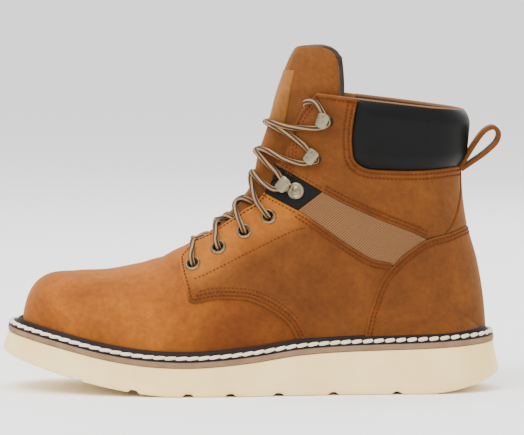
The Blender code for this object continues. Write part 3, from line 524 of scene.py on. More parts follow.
# Finding places on the last

def last_tree():
    """The closed last as a tree that answers for nearest places and rays."""
    rows = np.concatenate([np.linspace(0, 2, 24)[:-1], np.linspace(2, RIM_ROW, 260)])
    shares = np.linspace(0, 1, 72)
    corners, quads = [], []
    for side, _ in SIDES:
        points = skin(rows, shares, side, closed=True)
        index = np.arange(points.shape[0] * points.shape[1]).reshape(points.shape[:2]) + len(corners)
        faces = np.stack([index[:-1, :-1], index[1:, :-1], index[1:, 1:], index[:-1, 1:]], axis=2)
        if side == MEDIAL:
            faces = faces[:, :, ::-1]
        corners += [tuple(point) for point in points.reshape(-1, 3)]
        quads += [tuple(face) for face in faces.reshape(-1, 4)]
    return BVHTree.FromPolygons(corners, quads)


TREE = last_tree()


def settled(points):
    """The places on the last nearest to some points."""
    return np.array([TREE.find_nearest(Vector(point))[0] for point in points])


def outward_at(points):
    """Unit vectors out of the last at places on it."""
    found = np.array([TREE.find_nearest(Vector(point))[1] for point in points])
    middle = np.array([0.03, 0.0, 0.07])
    inward = np.sum(found * (points - middle), axis=1) < -0.02
    found[inward] *= -1
    return found


def seen(x, z, side):
    """The place on the last that the side view shows at (x, z), or None past its outline."""
    hit = TREE.ray_cast(Vector((x, side * 0.2, z)), Vector((0, -side, 0)))[0]
    return None if hit is None or side * hit.y < 0 else np.array(hit)


def back_centre(z):
    """The place on the centre line of the boot's back at a height."""
    hit = TREE.ray_cast(Vector((0.3, 0.02 * MM, z)), Vector((-1, 0, 0)))[0]
    return np.array((hit.x, 0.0, hit.z))


def lengths_along(line):
    steps = np.linalg.norm(np.diff(line, axis=0), axis=1)
    return np.concatenate([[0], np.cumsum(steps)])


def spaced(line, step):
    """A line's points at even steps."""
    reach = lengths_along(line)
    count = max(int(round(reach[-1] / step)), 2)
    return at_shares(line, np.linspace(0, 1, count + 1))


def at_lengths(line, reach, goal):
    """Places on a line at one or more lengths along it. Reach holds the lengths up to its own points."""
    return np.stack([np.interp(goal, reach, line[:, k]) for k in range(3)], axis=-1)


def at_shares(line, shares):
    reach = lengths_along(line)
    return at_lengths(line, reach, np.asarray(shares) * reach[-1])


def seam(rows, side, round_back=False):
    """A seam line on the last from a side view table. One that goes round the back stops at its centre."""
    view = drawn(rows)
    found = [(seen(x, z, side), z) for x, z in view]
    line = [place for place, _ in found if place is not None]
    if round_back:
        height = view[len(line) - 1, 1] if len(line) < len(view) else view[-1, 1]
        line = [place for place in line if place[0] < back_centre(height)[0] - 0.0025]
        line.append(back_centre(height))
    return settled(spaced(np.array(line), SEAM_STEP))


def around(half):
    """A line on the lateral side and its mirror image on the medial side, joined at the back's centre."""
    lateral, medial = half(LATERAL), half(MEDIAL)
    return np.vstack([lateral, medial[-2::-1]])


def rib_line(start, side, stop=1.0):
    """A line just behind the welt's rib, between two shares along the sole."""
    x = np.linspace((start - 0.5) * SOLE_LENGTH, min((stop - 0.5) * SOLE_LENGTH, FEATHER.heel), 90)
    if stop >= 1:
        x = FEATHER.heel - (FEATHER.heel - x[0]) * np.linspace(1, 0, 90) ** 2
    return settled(np.stack([x, FEATHER.across(x, side), feather_height(x) + 0.6 * RIB_HEIGHT], axis=1))


def throat_edge(side):
    """The edge of the leather beside the tongue, from the vamp up to the rim."""
    return skin(np.linspace(THROAT_ROW + 0.02, RIM_ROW, 160), [1.0], side)[:, 0]


def rim(side):
    """The top edge of the upper, from the back's centre to the throat."""
    return skin([RIM_ROW], np.linspace(0, 1, 120), side)[0]


def nearest_index(line, place):
    return int(np.argmin(np.linalg.norm(line - place, axis=1)))


# Meshes

def grid_of(points, spots=None):
    """A sheet whose corners stand at points, rows by columns, with spots as its UV places in metres."""
    rows, columns = points.shape[:2]
    sheet = bmesh.new()
    layer = sheet.loops.layers.uv.new("UVMap")
    corners = bmesh.ops.create_grid(sheet, x_segments=columns - 1, y_segments=rows - 1, size=1)["verts"]
    if spots is None:
        along = lengths_along(points[:, columns // 2])
        across = lengths_along(points[rows // 2])
        spots = np.stack(np.meshgrid(across, along), axis=2)
    flat = spots.reshape(-1, 2)
    sheet.verts.index_update()
    for corner, place in zip(corners, points.reshape(-1, 3)):
        corner.co = place
    for face in sheet.faces:
        for loop in face.loops:
            loop[layer].uv = flat[loop.vert.index]
    return sheet


def joined(sheets, merge=0.00002):
    """One sheet from several, merged where their edges meet."""
    whole = bmesh.new()
    for sheet in sheets:
        mesh = bpy.data.meshes.new("part")
        sheet.to_mesh(mesh)
        sheet.free()
        whole.from_mesh(mesh)
        bpy.data.meshes.remove(mesh)
    if merge:
        bmesh.ops.remove_doubles(whole, verts=whole.verts, dist=merge)
    return whole


def add_piece(name, built, materials, stands_for=(), fix_normals=True, sharp=50):
    if fix_normals:
        bmesh.ops.recalc_face_normals(built, faces=built.faces)
    mesh = bpy.data.meshes.new(name)
    built.to_mesh(mesh)
    built.free()
    for material in materials:
        mesh.materials.append(material)
    mesh.shade_smooth()
    mesh.set_sharp_from_angle(angle=math.radians(sharp))
    made = bpy.data.objects.new(name, mesh)
    bpy.context.collection.objects.link(made)
    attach(made, "root")
    if stands_for:
        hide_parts(*stands_for)
    return made


def coons(bottom, top, left, right, us, vs):
    """Places of a patch between four lines. Bottom and top run left to right, left and right upwards."""
    low, high = at_shares(bottom, us), at_shares(top, us)
    start, end = at_shares(left, vs), at_shares(right, vs)
    u, v = us[None, :, None], vs[:, None, None]
    ruled = (1 - v) * low[None] + v * high[None]
    cross = (1 - u) * start[:, None] + u * end[:, None]
    corners = (1 - v) * ((1 - u) * low[0] + u * low[-1]) + v * ((1 - u) * high[0] + u * high[-1])
    return ruled + cross - corners


def settled_flat(points):
    """A grid of points on the last, with any folded corners drawn flat between their neighbours."""
    shape = points.shape
    points = settled(points.reshape(-1, 3)).reshape(shape)
    outward = outward_at(points.reshape(-1, 3)).reshape(shape)
    for _ in range(80):
        facing = np.sum(grid_normals(points) * outward, axis=2)
        near = facing * np.sign(facing.sum()) < 0.5
        near[:4] = near[-4:] = False
        near[:, :4] = near[:, -4:] = False
        if not near.any():
            break
        for _ in range(5):
            folded = near.copy()
            near[1:] |= folded[:-1]
            near[:-1] |= folded[1:]
            near[:, 1:] |= folded[:, :-1]
            near[:, :-1] |= folded[:, 1:]
        middle = (points[:-2, 1:-1] + points[2:, 1:-1] + points[1:-1, :-2] + points[1:-1, 2:]) / 4
        inner = near[1:-1, 1:-1]
        drawn_flat = settled(middle[inner])
        points[1:-1, 1:-1][inner] = drawn_flat
        outward[1:-1, 1:-1][inner] = outward_at(drawn_flat)
    return points


def edge_spacing(length, fine, reach, coarse):
    """Shares of a length that are close together near both ends."""
    start = np.concatenate([[0, 0.12, 0.3, 0.55, 0.85], np.arange(1.2, reach / MM, fine / MM)]) * MM
    start = start[start < 0.35 * length]
    middle = np.linspace(start[-1], length - start[-1], max(int(length / coarse), 2))[1:-1]
    return np.concatenate([start, middle, length - start[::-1]]) / length


def line_tree(line):
    tree = KDTree(len(line))
    for k, place in enumerate(line):
        tree.insert(place, k)
    tree.balance()
    return tree


def distances(points, line):
    tree = line_tree(spaced(line, 0.25 * MM))
    return np.array([tree.find(Vector(point))[2] for point in points])


def grid_normals(points):
    """Unit normals of a grid of points, rows by columns."""
    down = np.gradient(points, axis=0)
    across = np.gradient(points, axis=1)
    normal = np.cross(across, down)
    size = np.linalg.norm(normal, axis=2, keepdims=True)
    return normal / np.maximum(size, 1e-12)


def rounded_edge(distance, radius):
    inside = np.clip(distance / radius, 0, 1)
    return np.sqrt(np.clip(1 - (1 - inside) ** 2, 0, 1))


def panel_points(bottom, top, left, right, thickness, stitched=(), edge=0.9 * MM, coarse=1.5 * MM, free=None):
    """A grid over the last between four seam lines, with a round edge and sunken stitch lines.

    Stitched holds lines with the distances of the stitch rows from them.
    """
    wide = max(lengths_along(bottom)[-1], lengths_along(top)[-1])
    tall = max(lengths_along(left)[-1], lengths_along(right)[-1])
    us = edge_spacing(wide, 0.5 * MM, 7.5 * MM, coarse)
    vs = edge_spacing(tall, 0.5 * MM, 7.5 * MM, coarse)
    points = settled_flat(coons(bottom, top, left, right, us, vs))
    shape = points.shape
    flat = points.reshape(-1, 3)
    outward = outward_at(flat)
    border = free if free is not None else np.vstack([bottom, right, top[::-1], left[::-1]])
    gap = distances(flat, border)
    lift = thickness * rounded_edge(gap, edge)
    for line, rows in stitched:
        away = distances(flat, line)
        for row in rows:
            lift -= CHANNEL_DEPTH * np.exp(-((away - row) / CHANNEL_WIDTH) ** 2)
    lift -= EDGE_SINK * (gap < 1e-6)
    return (flat + outward * lift[:, None]).reshape(shape)


# Stitches

STITCH_PITCH = 2.5 * MM
STITCH_LENGTH = 1.9 * MM
STITCH_RADIUS = 0.52 * MM
WELT_STITCH_PITCH = 6.9 * MM
WELT_STITCH_RADIUS = 1.5 * MM


def capsule(target, start, end, radius, detail=1, flat=1.0, up=None, blunt=1.0):
    """A stitch: a slim egg between two points, flattened along up. A blunt below 1 fills its ends."""
    start, end = Vector(start), Vector(end)
    ahead = end - start
    length = ahead.length
    forward = ahead.normalized()
    up = Vector(up) if up is not None else Vector((0, 0, 1))
    across = up.cross(forward).normalized()
    upward = forward.cross(across)
    turn = Matrix((forward, across, upward)).transposed().to_4x4()
    size = Matrix.Diagonal((length / 2, radius, radius * flat, 1))
    place = Matrix.Translation((start + end) / 2) @ turn @ size
    made = bmesh.ops.create_icosphere(target, subdivisions=detail, radius=1)["verts"]
    for corner in made:
        corner.co.x = math.copysign(abs(corner.co.x) ** blunt, corner.co.x)
        corner.co = place @ corner.co


def offset_row(line, inset, towards):
    """A line on the last beside another, on the side of a place, without its crossed corners."""
    line = spaced(line, 0.8 * MM)
    side = unit(np.cross(outward_at(line), unit(np.gradient(line, axis=0))))
    middle = len(line) // 2
    if np.dot(side[middle], towards - line[middle]) < 0:
        side = -side
    moved = settled(line + side * inset)
    clean = np.abs(distances(moved, line) - inset) < 0.3 * MM
    return longest_run(moved, clean)


def longest_run(points, kept):
    """The longest unbroken run of the points that are kept."""
    edges = np.flatnonzero(np.diff(np.concatenate([[0], kept.astype(int), [0]])))
    starts, ends = edges[::2], edges[1::2]
    best = int(np.argmax(ends - starts))
    return points[starts[best]:ends[best]]


def sew(target, line, lift):
    """A row of stitches on the last along a line, lifted to the top of the leather."""
    reach = lengths_along(line)
    count = int(reach[-1] / STITCH_PITCH)
    centres = (np.arange(count) + 0.5) * STITCH_PITCH + (reach[-1] - count * STITCH_PITCH) / 2
    for middle in centres:
        ends = at_lengths(line, reach, [middle - STITCH_LENGTH / 2, middle + STITCH_LENGTH / 2])
        outward = outward_at(settled(ends))
        start, end = ends + outward * lift
        if np.linalg.norm(end - start) < 1.5 * STITCH_LENGTH:
            capsule(target, start, end, STITCH_RADIUS, up=outward.mean(axis=0))


def sew_beside(target, line, rows, towards, thickness):
    """Rows of stitches beside a seam, pulled a little into leather of a thickness."""
    for inset in rows:
        sew(target, offset_row(line, inset, towards), thickness - 0.1 * MM)


# Materials

def colour(hex_code):
    """A screen colour as linear light."""
    parts = [int(hex_code[k:k + 2], 16) / 255 for k in (1, 3, 5)]
    linear = [part / 12.92 if part <= 0.04045 else ((part + 0.055) / 1.055) ** 2.4 for part in parts]
    return (*linear, 1.0)


def add_node(material, kind, settings=None, values=None, links=None):
    """A shader node with its settings, its inputs' values and its inputs' links from other nodes."""
    tree = material.node_tree
    made = tree.nodes.new(kind)
    for key, value in (settings or {}).items():
        setattr(made, key, value)
    for key, value in (values or {}).items():
        made.inputs[key].default_value = value
    for key, (source, output) in (links or {}).items():
        tree.links.new(source.outputs[output], made.inputs[key])
    return made


def start_material(name, roughness, metallic=0.0):
    material = bpy.data.materials.new(name)
    material.use_nodes = True
    shader = material.node_tree.nodes["Principled BSDF"]
    shader.inputs["Roughness"].default_value = roughness
    shader.inputs["Metallic"].default_value = metallic
    return material, shader


def link(material, source, output, target, entry):
    material.node_tree.links.new(source.outputs[output], target.inputs[entry])


def object_place(material):
    return add_node(material, "ShaderNodeTexCoord"), "Object"


def noise(material, size, detail=3.0, roughness=0.55, distortion=0.0):
    """A cloudy pattern whose patches are about size metres wide."""
    values = {"Scale": 1 / size, "Detail": detail, "Roughness": roughness, "Distortion": distortion}
    return add_node(material, "ShaderNodeTexNoise", values=values, links={"Vector": object_place(material)})


def ramp(material, source, output, stops):
    made = add_node(material, "ShaderNodeValToRGB", links={"Fac": (source, output)})
    elements = made.color_ramp.elements
    while len(elements) < len(stops):
        elements.new(0.5)
    for element, (place, tone) in zip(elements, stops):
        element.position = place
        element.color = colour(tone)
    return made


def bump(material, source, output, strength, depth, below=None):
    links = {"Height": (source, output)}
    if below:
        links["Normal"] = (below, "Normal")
    return add_node(material, "ShaderNodeBump", values={"Strength": strength, "Distance": depth}, links=links)


def mixed(material, factor, first, second, blend="MIX", amount=1.0):
    """Two colours mixed, where each is a node with its output or a fixed colour."""
    made = add_node(material, "ShaderNodeMix", {"data_type": "RGBA", "blend_type": blend}, {0: amount})
    if factor:
        material.node_tree.links.new(factor[0].outputs[factor[1]], made.inputs[0])
    for entry, given in ((6, first), (7, second)):
        if isinstance(given, tuple) and len(given) == 4:
            made.inputs[entry].default_value = given
        else:
            material.node_tree.links.new(given[0].outputs[given[1]], made.inputs[entry])
    return made


def nubuck(name, light, middle, dark, painted_shade=None):
    """Nubuck: a soft, mottled nap with no shine.

    The last argument paints shade: it makes the piece deeper in tone away from a direction, as if less
    light fell there. It holds the shaded tone, the direction, and how far along it the shade starts to fade
    and ends.
    """
    material, shader = start_material(name, 0.88)
    clouds = noise(material, 38 * MM, 4.0, 0.6, 0.6)
    tone = ramp(material, clouds, "Fac", [(0.32, dark), (0.50, middle), (0.68, light)])
    flecks = noise(material, 3.5 * MM, 4.0, 0.65)
    fleck_tone = ramp(material, flecks, "Fac", [(0.30, "#8F8F8F"), (0.62, "#FFFFFF")])
    body = mixed(material, None, (tone, "Color"), (fleck_tone, "Color"), "MULTIPLY", 0.35)
    if painted_shade:
        # Painted shade: the body is multiplied by a deeper tone that fades out towards the lit side.
        shade_tone, towards, fade_start, fade_end = painted_shade
        reach = add_node(material, "ShaderNodeVectorMath", {"operation": "DOT_PRODUCT"}, {1: towards},
                         {0: object_place(material)})
        share = add_node(material, "ShaderNodeMapRange", {"interpolation_type": "SMOOTHSTEP"},
                         {1: fade_start, 2: fade_end}, {0: (reach, "Value")})
        shade_tint = mixed(material, (share, 0), colour(shade_tone), colour("#FFFFFF"))
        body = mixed(material, None, (body, 2), (shade_tint, 2), "MULTIPLY", 1.0)
    link(material, body, 2, shader, "Base Color")
    nap = noise(material, 0.55 * MM, 3.0, 0.7)
    low = bump(material, nap, "Fac", 0.35, 0.25 * MM)
    grain = noise(material, 5 * MM, 3.0, 0.6)
    high = bump(material, grain, "Fac", 0.22, 1.0 * MM, low)
    link(material, high, "Normal", shader, "Normal")
    shader.inputs["Sheen Weight"].default_value = 0.22
    shader.inputs["Sheen Roughness"].default_value = 0.55
    shader.inputs["Sheen Tint"].default_value = colour("#E8AE6E")
    shader.inputs["Specular IOR Level"].default_value = 0.22
    return material


def smooth_leather(name, tone, shine, grain_size):
    """Coated leather: near black, with a fine pebble grain and a soft shine."""
    material, shader = start_material(name, shine)
    clouds = noise(material, 30 * MM)
    body = ramp(material, clouds, "Fac", [(0.3, tone), (0.7, "#070807")])
    link(material, body, "Color", shader, "Base Color")
    pebbles = add_node(material, "ShaderNodeTexVoronoi", values={"Scale": 1 / grain_size},
                       links={"Vector": object_place(material)})
    low = bump(material, pebbles, "Distance", 0.25, 0.12 * MM)
    link(material, low, "Normal", shader, "Normal")
    shader.inputs["Specular IOR Level"].default_value = 0.13
    return material


def rubber(name, tone, shade):
    """Moulded wedge rubber: creamy, matt, with faint scuffs from the mould."""
    material, shader = start_material(name, 0.62)
    clouds = noise(material, 25 * MM, 3.0, 0.5)
    body = ramp(material, clouds, "Fac", [(0.35, shade), (0.6, tone)])
    link(material, body, "Color", shader, "Base Color")
    grain = noise(material, 0.9 * MM, 2.0, 0.6)
    link(material, bump(material, grain, "Fac", 0.18, 0.15 * MM), "Normal", shader, "Normal")
    shader.inputs["Subsurface Weight"].default_value = 0.15
    shader.inputs["Subsurface Radius"].default_value = (0.004, 0.003, 0.002)
    shader.inputs["Subsurface Scale"].default_value = 0.5
    return material


def plain(name, tone, roughness, grain_size=1.2 * MM, depth=0.12 * MM, shade=None):
    """A plain worked edge, such as a midsole board or a waxed welt, with a fine fibre grain."""
    material, shader = start_material(name, roughness)
    clouds = noise(material, 9 * MM, 4.0)
    body = ramp(material, clouds, "Fac", [(0.3, shade or tone), (0.7, tone)])
    link(material, body, "Color", shader, "Base Color")
    grain = noise(material, grain_size, 3.0, 0.65)
    link(material, bump(material, grain, "Fac", 0.4, depth), "Normal", shader, "Normal")
    shader.inputs["Specular IOR Level"].default_value = 0.2
    return material


def metal(name, tone, shade):
    """Antique nickel: a warm grey metal with dull, darker patches in its hollows."""
    material, shader = start_material(name, 0.40, 1.0)
    clouds = noise(material, 2.5 * MM, 4.0, 0.6)
    body = ramp(material, clouds, "Fac", [(0.26, shade), (0.48, tone)])
    link(material, body, "Color", shader, "Base Color")
    link(material, bump(material, clouds, "Fac", 0.08, 0.08 * MM), "Normal", shader, "Normal")
    return material


def spot_parts(material):
    """The UV places of a piece, as X and Y."""
    spots = add_node(material, "ShaderNodeUVMap", {"uv_map": "UVMap"})
    return add_node(material, "ShaderNodeSeparateXYZ", links={"Vector": (spots, "UV")})


def wave(material, source, output, length):
    """A sine wave that repeats after each length of a value."""
    turns = add_node(material, "ShaderNodeMath", {"operation": "MULTIPLY"}, {1: 2 * math.pi / length},
                     {0: (source, output)})
    return add_node(material, "ShaderNodeMath", {"operation": "SINE"}, links={0: (turns, 0)})


def woven(name, tone, shade, pitch, depth):
    """Ribbed tape: ribs across its length, from the UV places in metres along it."""
    material, shader = start_material(name, 0.8)
    ribs = wave(material, spot_parts(material), "X", pitch)
    share = add_node(material, "ShaderNodeMapRange", values={1: -1.0, 2: 1.0}, links={0: (ribs, 0)})
    fibres = noise(material, 0.5 * MM, 3.0, 0.7)
    # Painted shade: the darker tone sits in the grooves between the ribs.
    body = mixed(material, (share, 0), colour(shade), colour(tone))
    fleck = ramp(material, fibres, "Fac", [(0.3, "#A8A8A8"), (0.6, "#FFFFFF")])
    whole = mixed(material, None, (body, 2), (fleck, "Color"), "MULTIPLY", 0.5)
    link(material, whole, 2, shader, "Base Color")
    low = bump(material, fibres, "Fac", 0.3, 0.15 * MM)
    high = bump(material, share, 0, 0.8, depth, low)
    link(material, high, "Normal", shader, "Normal")
    return material


def striped(name, light, dark, pitch):
    """Round boot lace: a braid with dark threads that wind round it, from UV places round and along it."""
    material, shader = start_material(name, 0.78)
    parts = spot_parts(material)
    along = add_node(material, "ShaderNodeMath", {"operation": "MULTIPLY"}, {1: 1 / pitch}, {0: (parts, "Y")})
    around_lace = add_node(material, "ShaderNodeMath", {"operation": "MULTIPLY_ADD"}, {1: 4.0},
                           {0: (parts, "X"), 2: (along, 0)})
    stripes = wave(material, around_lace, 0, 1)
    share = add_node(material, "ShaderNodeMapRange", values={1: -0.1, 2: 0.35}, links={0: (stripes, 0)})
    body = mixed(material, (share, 0), colour(dark), colour(light))
    link(material, body, 2, shader, "Base Color")
    braid = wave(material, parts, "Y", 0.9 * MM)
    high = bump(material, braid, 0, 0.5, 0.12 * MM)
    link(material, high, "Normal", shader, "Normal")
    return material


# Vamp nubuck; painted shade deepens it low down and towards the heel, where less light falls.
TAN = nubuck("tan_nubuck", "#A05A14", "#914E10", "#7F420B", ("#B0A59F", (-0.8, 0.0, 0.6), 0.024, 0.074))
# A darker copy of the tan nubuck, whose deeper tone is painted shade, for the shaft, heel, tongue and loop.
TAN_SHADED = nubuck("tan_nubuck_painted_shade", "#713F0D", "#66360A", "#582D07")
# Quarter nubuck in lighter tones where the light falls on the eyelet row, with painted shade deepening it
# lower down.
TAN_INSTEP = nubuck("tan_nubuck_instep", "#A8631E", "#9A5815", "#8A4B0F",
                    ("#A39B95", (-0.51, 0.0, 0.86), 0.066, 0.088))
LABEL = nubuck("bare_label_leather", "#8E5E2A", "#825221", "#734517")
BLACK = smooth_leather("black_leather", "#030403", 0.46, 1.1 * MM)
PATCH_BLACK = smooth_leather("black_patch_leather", "#0E0D0C", 0.55, 0.9 * MM)
CREAM = rubber("cream_rubber", "#FFDF9C", "#FAD58C")
TAUPE = plain("taupe_midsole", "#8B6F55", 0.75, shade="#7A5F47")
BROWN = plain("brown_welt", "#1D0E0B", 0.65, shade="#140807")
THREAD = plain("tan_thread", "#672807", 0.8, 0.5 * MM, 0.1 * MM, "#521D04")
CREAM_THREAD = plain("cream_welt_thread", "#ECE2CE", 0.6, 0.45 * MM, 0.15 * MM, "#CFC3AB")
NICKEL = metal("antique_nickel", "#897F66", "#554D3B")
TAPE = woven("tan_webbing", "#835623", "#583512", 1.35 * MM, 0.35 * MM)
ROLL = woven("tan_lining_tape", "#7C5229", "#5F3C1B", 1.1 * MM, 0.15 * MM)
GREY_TAPE = woven("grey_loop_tape", "#6B6158", "#4B433C", 0.9 * MM, 0.12 * MM)
MESH_LINING = plain("brown_mesh_lining", "#5B4A3D", 0.9, 0.9 * MM, 0.4 * MM, "#3E3129")
LINING = plain("tan_lining", "#8A6442", 0.9, 1.0 * MM, 0.2 * MM, "#75522F")
CORD = striped("striped_lace", "#96703F", "#1E0F09", 26 * MM)
# Black for the discs under the hooks, which paint the hooks' shadow.
HOOK_SHADOW_BLACK = plain("black_hook_shadow_disc", "#171716", 0.6)


# Sole, midsole and welt

RING_COUNT = 560


def ring_points(contour):
    """Evenly spaced points of a contour, from the toe along the lateral side and back."""
    ring = contour.ring()
    closed_ring = np.vstack([ring, ring[:1]])
    flat = np.column_stack([closed_ring, np.zeros(len(closed_ring))])
    return at_shares(flat, np.linspace(0, 1, RING_COUNT + 1))[:, :2]


def wall_sheet(rows):
    """A wall round the foot through contours at heights, each a contour and a function of X."""
    loops = []
    for contour, height in rows:
        ring = ring_points(contour)
        loops.append(np.column_stack([ring, height(ring[:, 0])]))
    return grid_of(np.array(loops))


def floor_sheet(contour, height, across):
    """A sheet that fills a contour at the height that a function of X gives."""
    ring = ring_points(contour)
    half = len(ring) // 2
    lateral, medial = ring[: half + 1], ring[half:][::-1]
    shares = np.linspace(0, 1, across + 1)[None, :, None]
    flat = lateral[:, None] * (1 - shares) + medial[:, None] * shares
    return grid_of(np.dstack([flat, height(flat[:, :, 0])]))


def make_outsole():
    def between(share):
        return lambda x: notched_tread(x) + share * (outsole_top(x) - notched_tread(x))

    def flare(share):
        return FOOT_OF_WALL.grown(-WALL_FLARE * share)

    rows = [
        (FOOT_OF_WALL.grown(-0.0024), notched_tread),
        (FOOT_OF_WALL.grown(-0.0010), lambda x: notched_tread(x) + 0.25 * MM),
        (FOOT_OF_WALL.grown(-0.0003), lambda x: notched_tread(x) + 0.9 * MM),
        (FOOT_OF_WALL, between(0.12)),
        (flare(0.12), between(0.25)),
        (flare(0.35), between(0.40)),
        (flare(0.62), between(0.60)),
        (flare(0.85), between(0.80)),
        (flare(0.97), between(0.95)),
        (flare(1.05), between(0.99)),
        (flare(1.35), between(1.0)),
    ]
    below = floor_sheet(rows[0][0], notched_tread, 20)
    above = floor_sheet(rows[-1][0], outsole_top, 8)
    sheets = [wall_sheet(rows), below, above]
    add_piece("outsole_rubber", joined(sheets), [CREAM], ("outsole",), sharp=60)


def make_midsole():
    def lifted(height):
        return lambda x: outsole_top(x) + height

    rows = [
        (SOLE_EDGE.grown(-0.0012), lifted(0.0)),
        (SOLE_EDGE.grown(0.0001), lifted(0.35 * MM)),
        (SOLE_EDGE.grown(0.0003), lifted(0.5 * MIDSOLE_THICKNESS)),
        (SOLE_EDGE.grown(0.0001), lifted(MIDSOLE_THICKNESS - 0.35 * MM)),
        (SOLE_EDGE.grown(-0.0012), lifted(MIDSOLE_THICKNESS)),
    ]
    sheets = [wall_sheet(rows), floor_sheet(*rows[0], 4), floor_sheet(*rows[-1], 4)]
    add_piece("midsole_board", joined(sheets), [TAUPE], ("midsole",), sharp=60)


def upper_line(height):
    """The upper's outer line at a height above the welt seam, seen from above, for each contour point."""
    ring = ring_points(FEATHER.grown(0.4 * MM))
    line = np.column_stack([ring, feather_height(ring[:, 0]) + height])
    return settled(line)[:, :2]


def make_welt():
    """The stitched flange, and the dark rib that stands against the upper."""
    base = ring_points(FEATHER)
    outward = outward_of(base[:-1])
    outward = np.vstack([outward, outward[:1]])
    lines = [upper_line(height) for height in (0.5 * MM, 0.5 * RIB_HEIGHT, RIB_HEIGHT)]
    inner = np.maximum.reduce([np.sum((line - base) * outward, axis=1) for line in lines])
    rib_out = base + outward * (inner + RIB_WIDTH)[:, None]
    edge = ring_points(SOLE_EDGE.grown(-0.0004))

    def level(points, height):
        return np.column_stack([points, midsole_top(points[:, 0]) + height])

    def across(share):
        return edge + (rib_out - edge) * share

    def against(gap):
        return base + outward * (inner + gap)[:, None]

    profile = [
        level(edge, 0.0),
        level(edge, 1.2 * MM),
        level(across(0.06), 1.75 * MM),
        level(across(0.30), 2.25 * MM),
        level(across(0.62), 2.6 * MM),
        level(across(0.80), 2.7 * MM),
        level(across(0.90), 3.1 * MM),
        level(across(0.98), 4.3 * MM),
        level(against(0.80 * RIB_WIDTH), 5.3 * MM),
        level(against(0.50 * RIB_WIDTH), 5.9 * MM),
        level(against(0.15 * RIB_WIDTH), 5.6 * MM),
        level(against(-0.6 * MM), 4.0 * MM),
        level(against(-0.6 * MM), 0.4 * MM),
    ]
    add_piece("welt_band", joined([grid_of(np.array(profile))]), [BROWN], ("welt",), sharp=70)
    thread = bmesh.new()
    low = level(across(0.13), 1.8 * MM)
    high = level(across(0.34), 2.5 * MM)
    reach = lengths_along(low)
    count = int(round(reach[-1] / WELT_STITCH_PITCH))
    pitch = reach[-1] / count
    for k in range(count):
        start = at_lengths(low, reach, (k - 0.02) * pitch)
        end = at_lengths(high, reach, (k + 1.04) * pitch)
        capsule(thread, start, end, WELT_STITCH_RADIUS, detail=2, flat=0.85, blunt=0.55)
    add_piece("welt_stitches", thread, [CREAM_THREAD], fix_normals=False)


def make_insole():
    inside = FEATHER.grown(-WALL - 0.0008)
    rows = [
        (inside, lambda x: midsole_top(x) + CLEARANCE),
        (inside, lambda x: midsole_top(x) + 0.8 * INSOLE_THICKNESS),
        (inside.grown(-0.8 * MM), lambda x: midsole_top(x) + CLEARANCE + INSOLE_THICKNESS),
    ]
    sheets = [wall_sheet(rows), floor_sheet(*rows[-1], 12), floor_sheet(*rows[0], 4)]
    add_piece("footbed", joined(sheets), [LINING], ("insole",))


# Upper

# Soft folds where the vamp bends
CREASES = [
    # along, across from the ridge, length, width, depth
    (0.325, 0.010, 0.040, 0.0050, 0.0006),
    (0.300, 0.022, 0.050, 0.0060, 0.0005),
    (0.345, 0.030, 0.034, 0.0045, 0.0005),
]


def vamp_depth(points):
    """How much the soft folds lower the leather at points of the vamp."""
    depth = np.zeros(len(points))
    x, y = points.T[:2]
    for along, away, length, width, fold in CREASES:
        middle = (along - 0.5) * SOLE_LENGTH
        slant = middle + 0.35 * (np.abs(y) - away)
        spread = np.exp(-((np.abs(y) - away) / length) ** 2)
        depth += fold * spread * np.exp(-((x - slant) / width) ** 2)
        depth -= 0.6 * fold * spread * np.exp(-((x - slant - 1.7 * width) / width) ** 2)
    return depth


def make_upper(holes):
    """The leather shell of the last: outer face, lining and edges, with the eyelet holes through it."""
    toe_rows = np.linspace(0, 3, 40)[:-1]
    vamp_rows = np.linspace(3, 8, 70)[:-1]
    rows = np.concatenate([toe_rows, vamp_rows, np.linspace(8, RIM_ROW, 150)])
    shares = np.linspace(0, 1, 64)
    shell = joined([grid_of(skin(rows, shares, side)) for side, _ in SIDES], 0.00001)
    bmesh.ops.dissolve_degenerate(shell, edges=shell.edges, dist=1e-6)
    places, normals = faced_outwards(shell, (0.0, 0.0, 0.07))
    gone = faces_near(shell, holes, SHELL_HOLE)
    outer = places - normals * vamp_depth(places)[:, None]
    for vertex, place in zip(shell.verts, outer):
        vertex.co = place
    bmesh.ops.delete(shell, geom=gone, context="FACES")
    made = add_piece("upper_shell", shell, [TAN, LINING], ("upper",), fix_normals=False,
                     sharp=80)
    thicken(made, WALL, material_offset=1)


def faces_near(sheet, holes, reach):
    """The faces of a sheet whose middles lie within reach of a hole."""
    return [face for face in sheet.faces
            if any((face.calc_center_median() - hole).length < reach for hole in holes)]


def faced_outwards(sheet, middle):
    """Turns a sheet's faces away from its middle, and gives its corners' places and normals."""
    bmesh.ops.recalc_face_normals(sheet, faces=sheet.faces)
    sheet.normal_update()
    places = np.array([vertex.co for vertex in sheet.verts])
    normals = np.array([vertex.normal for vertex in sheet.verts])
    if np.sum(normals * (places - middle)) < 0:
        bmesh.ops.reverse_faces(sheet, faces=sheet.faces)
        normals = -normals
    return places, normals


def thicken(made, thickness, offset=-1, **settings):
    """Gives a sheet a thickness. Offset -1 puts it behind the sheet and 0 on both sides."""
    wall = made.modifiers.new("wall", "SOLIDIFY")
    wall.thickness = thickness
    wall.offset = offset
    for key, value in settings.items():
        setattr(wall, key, value)


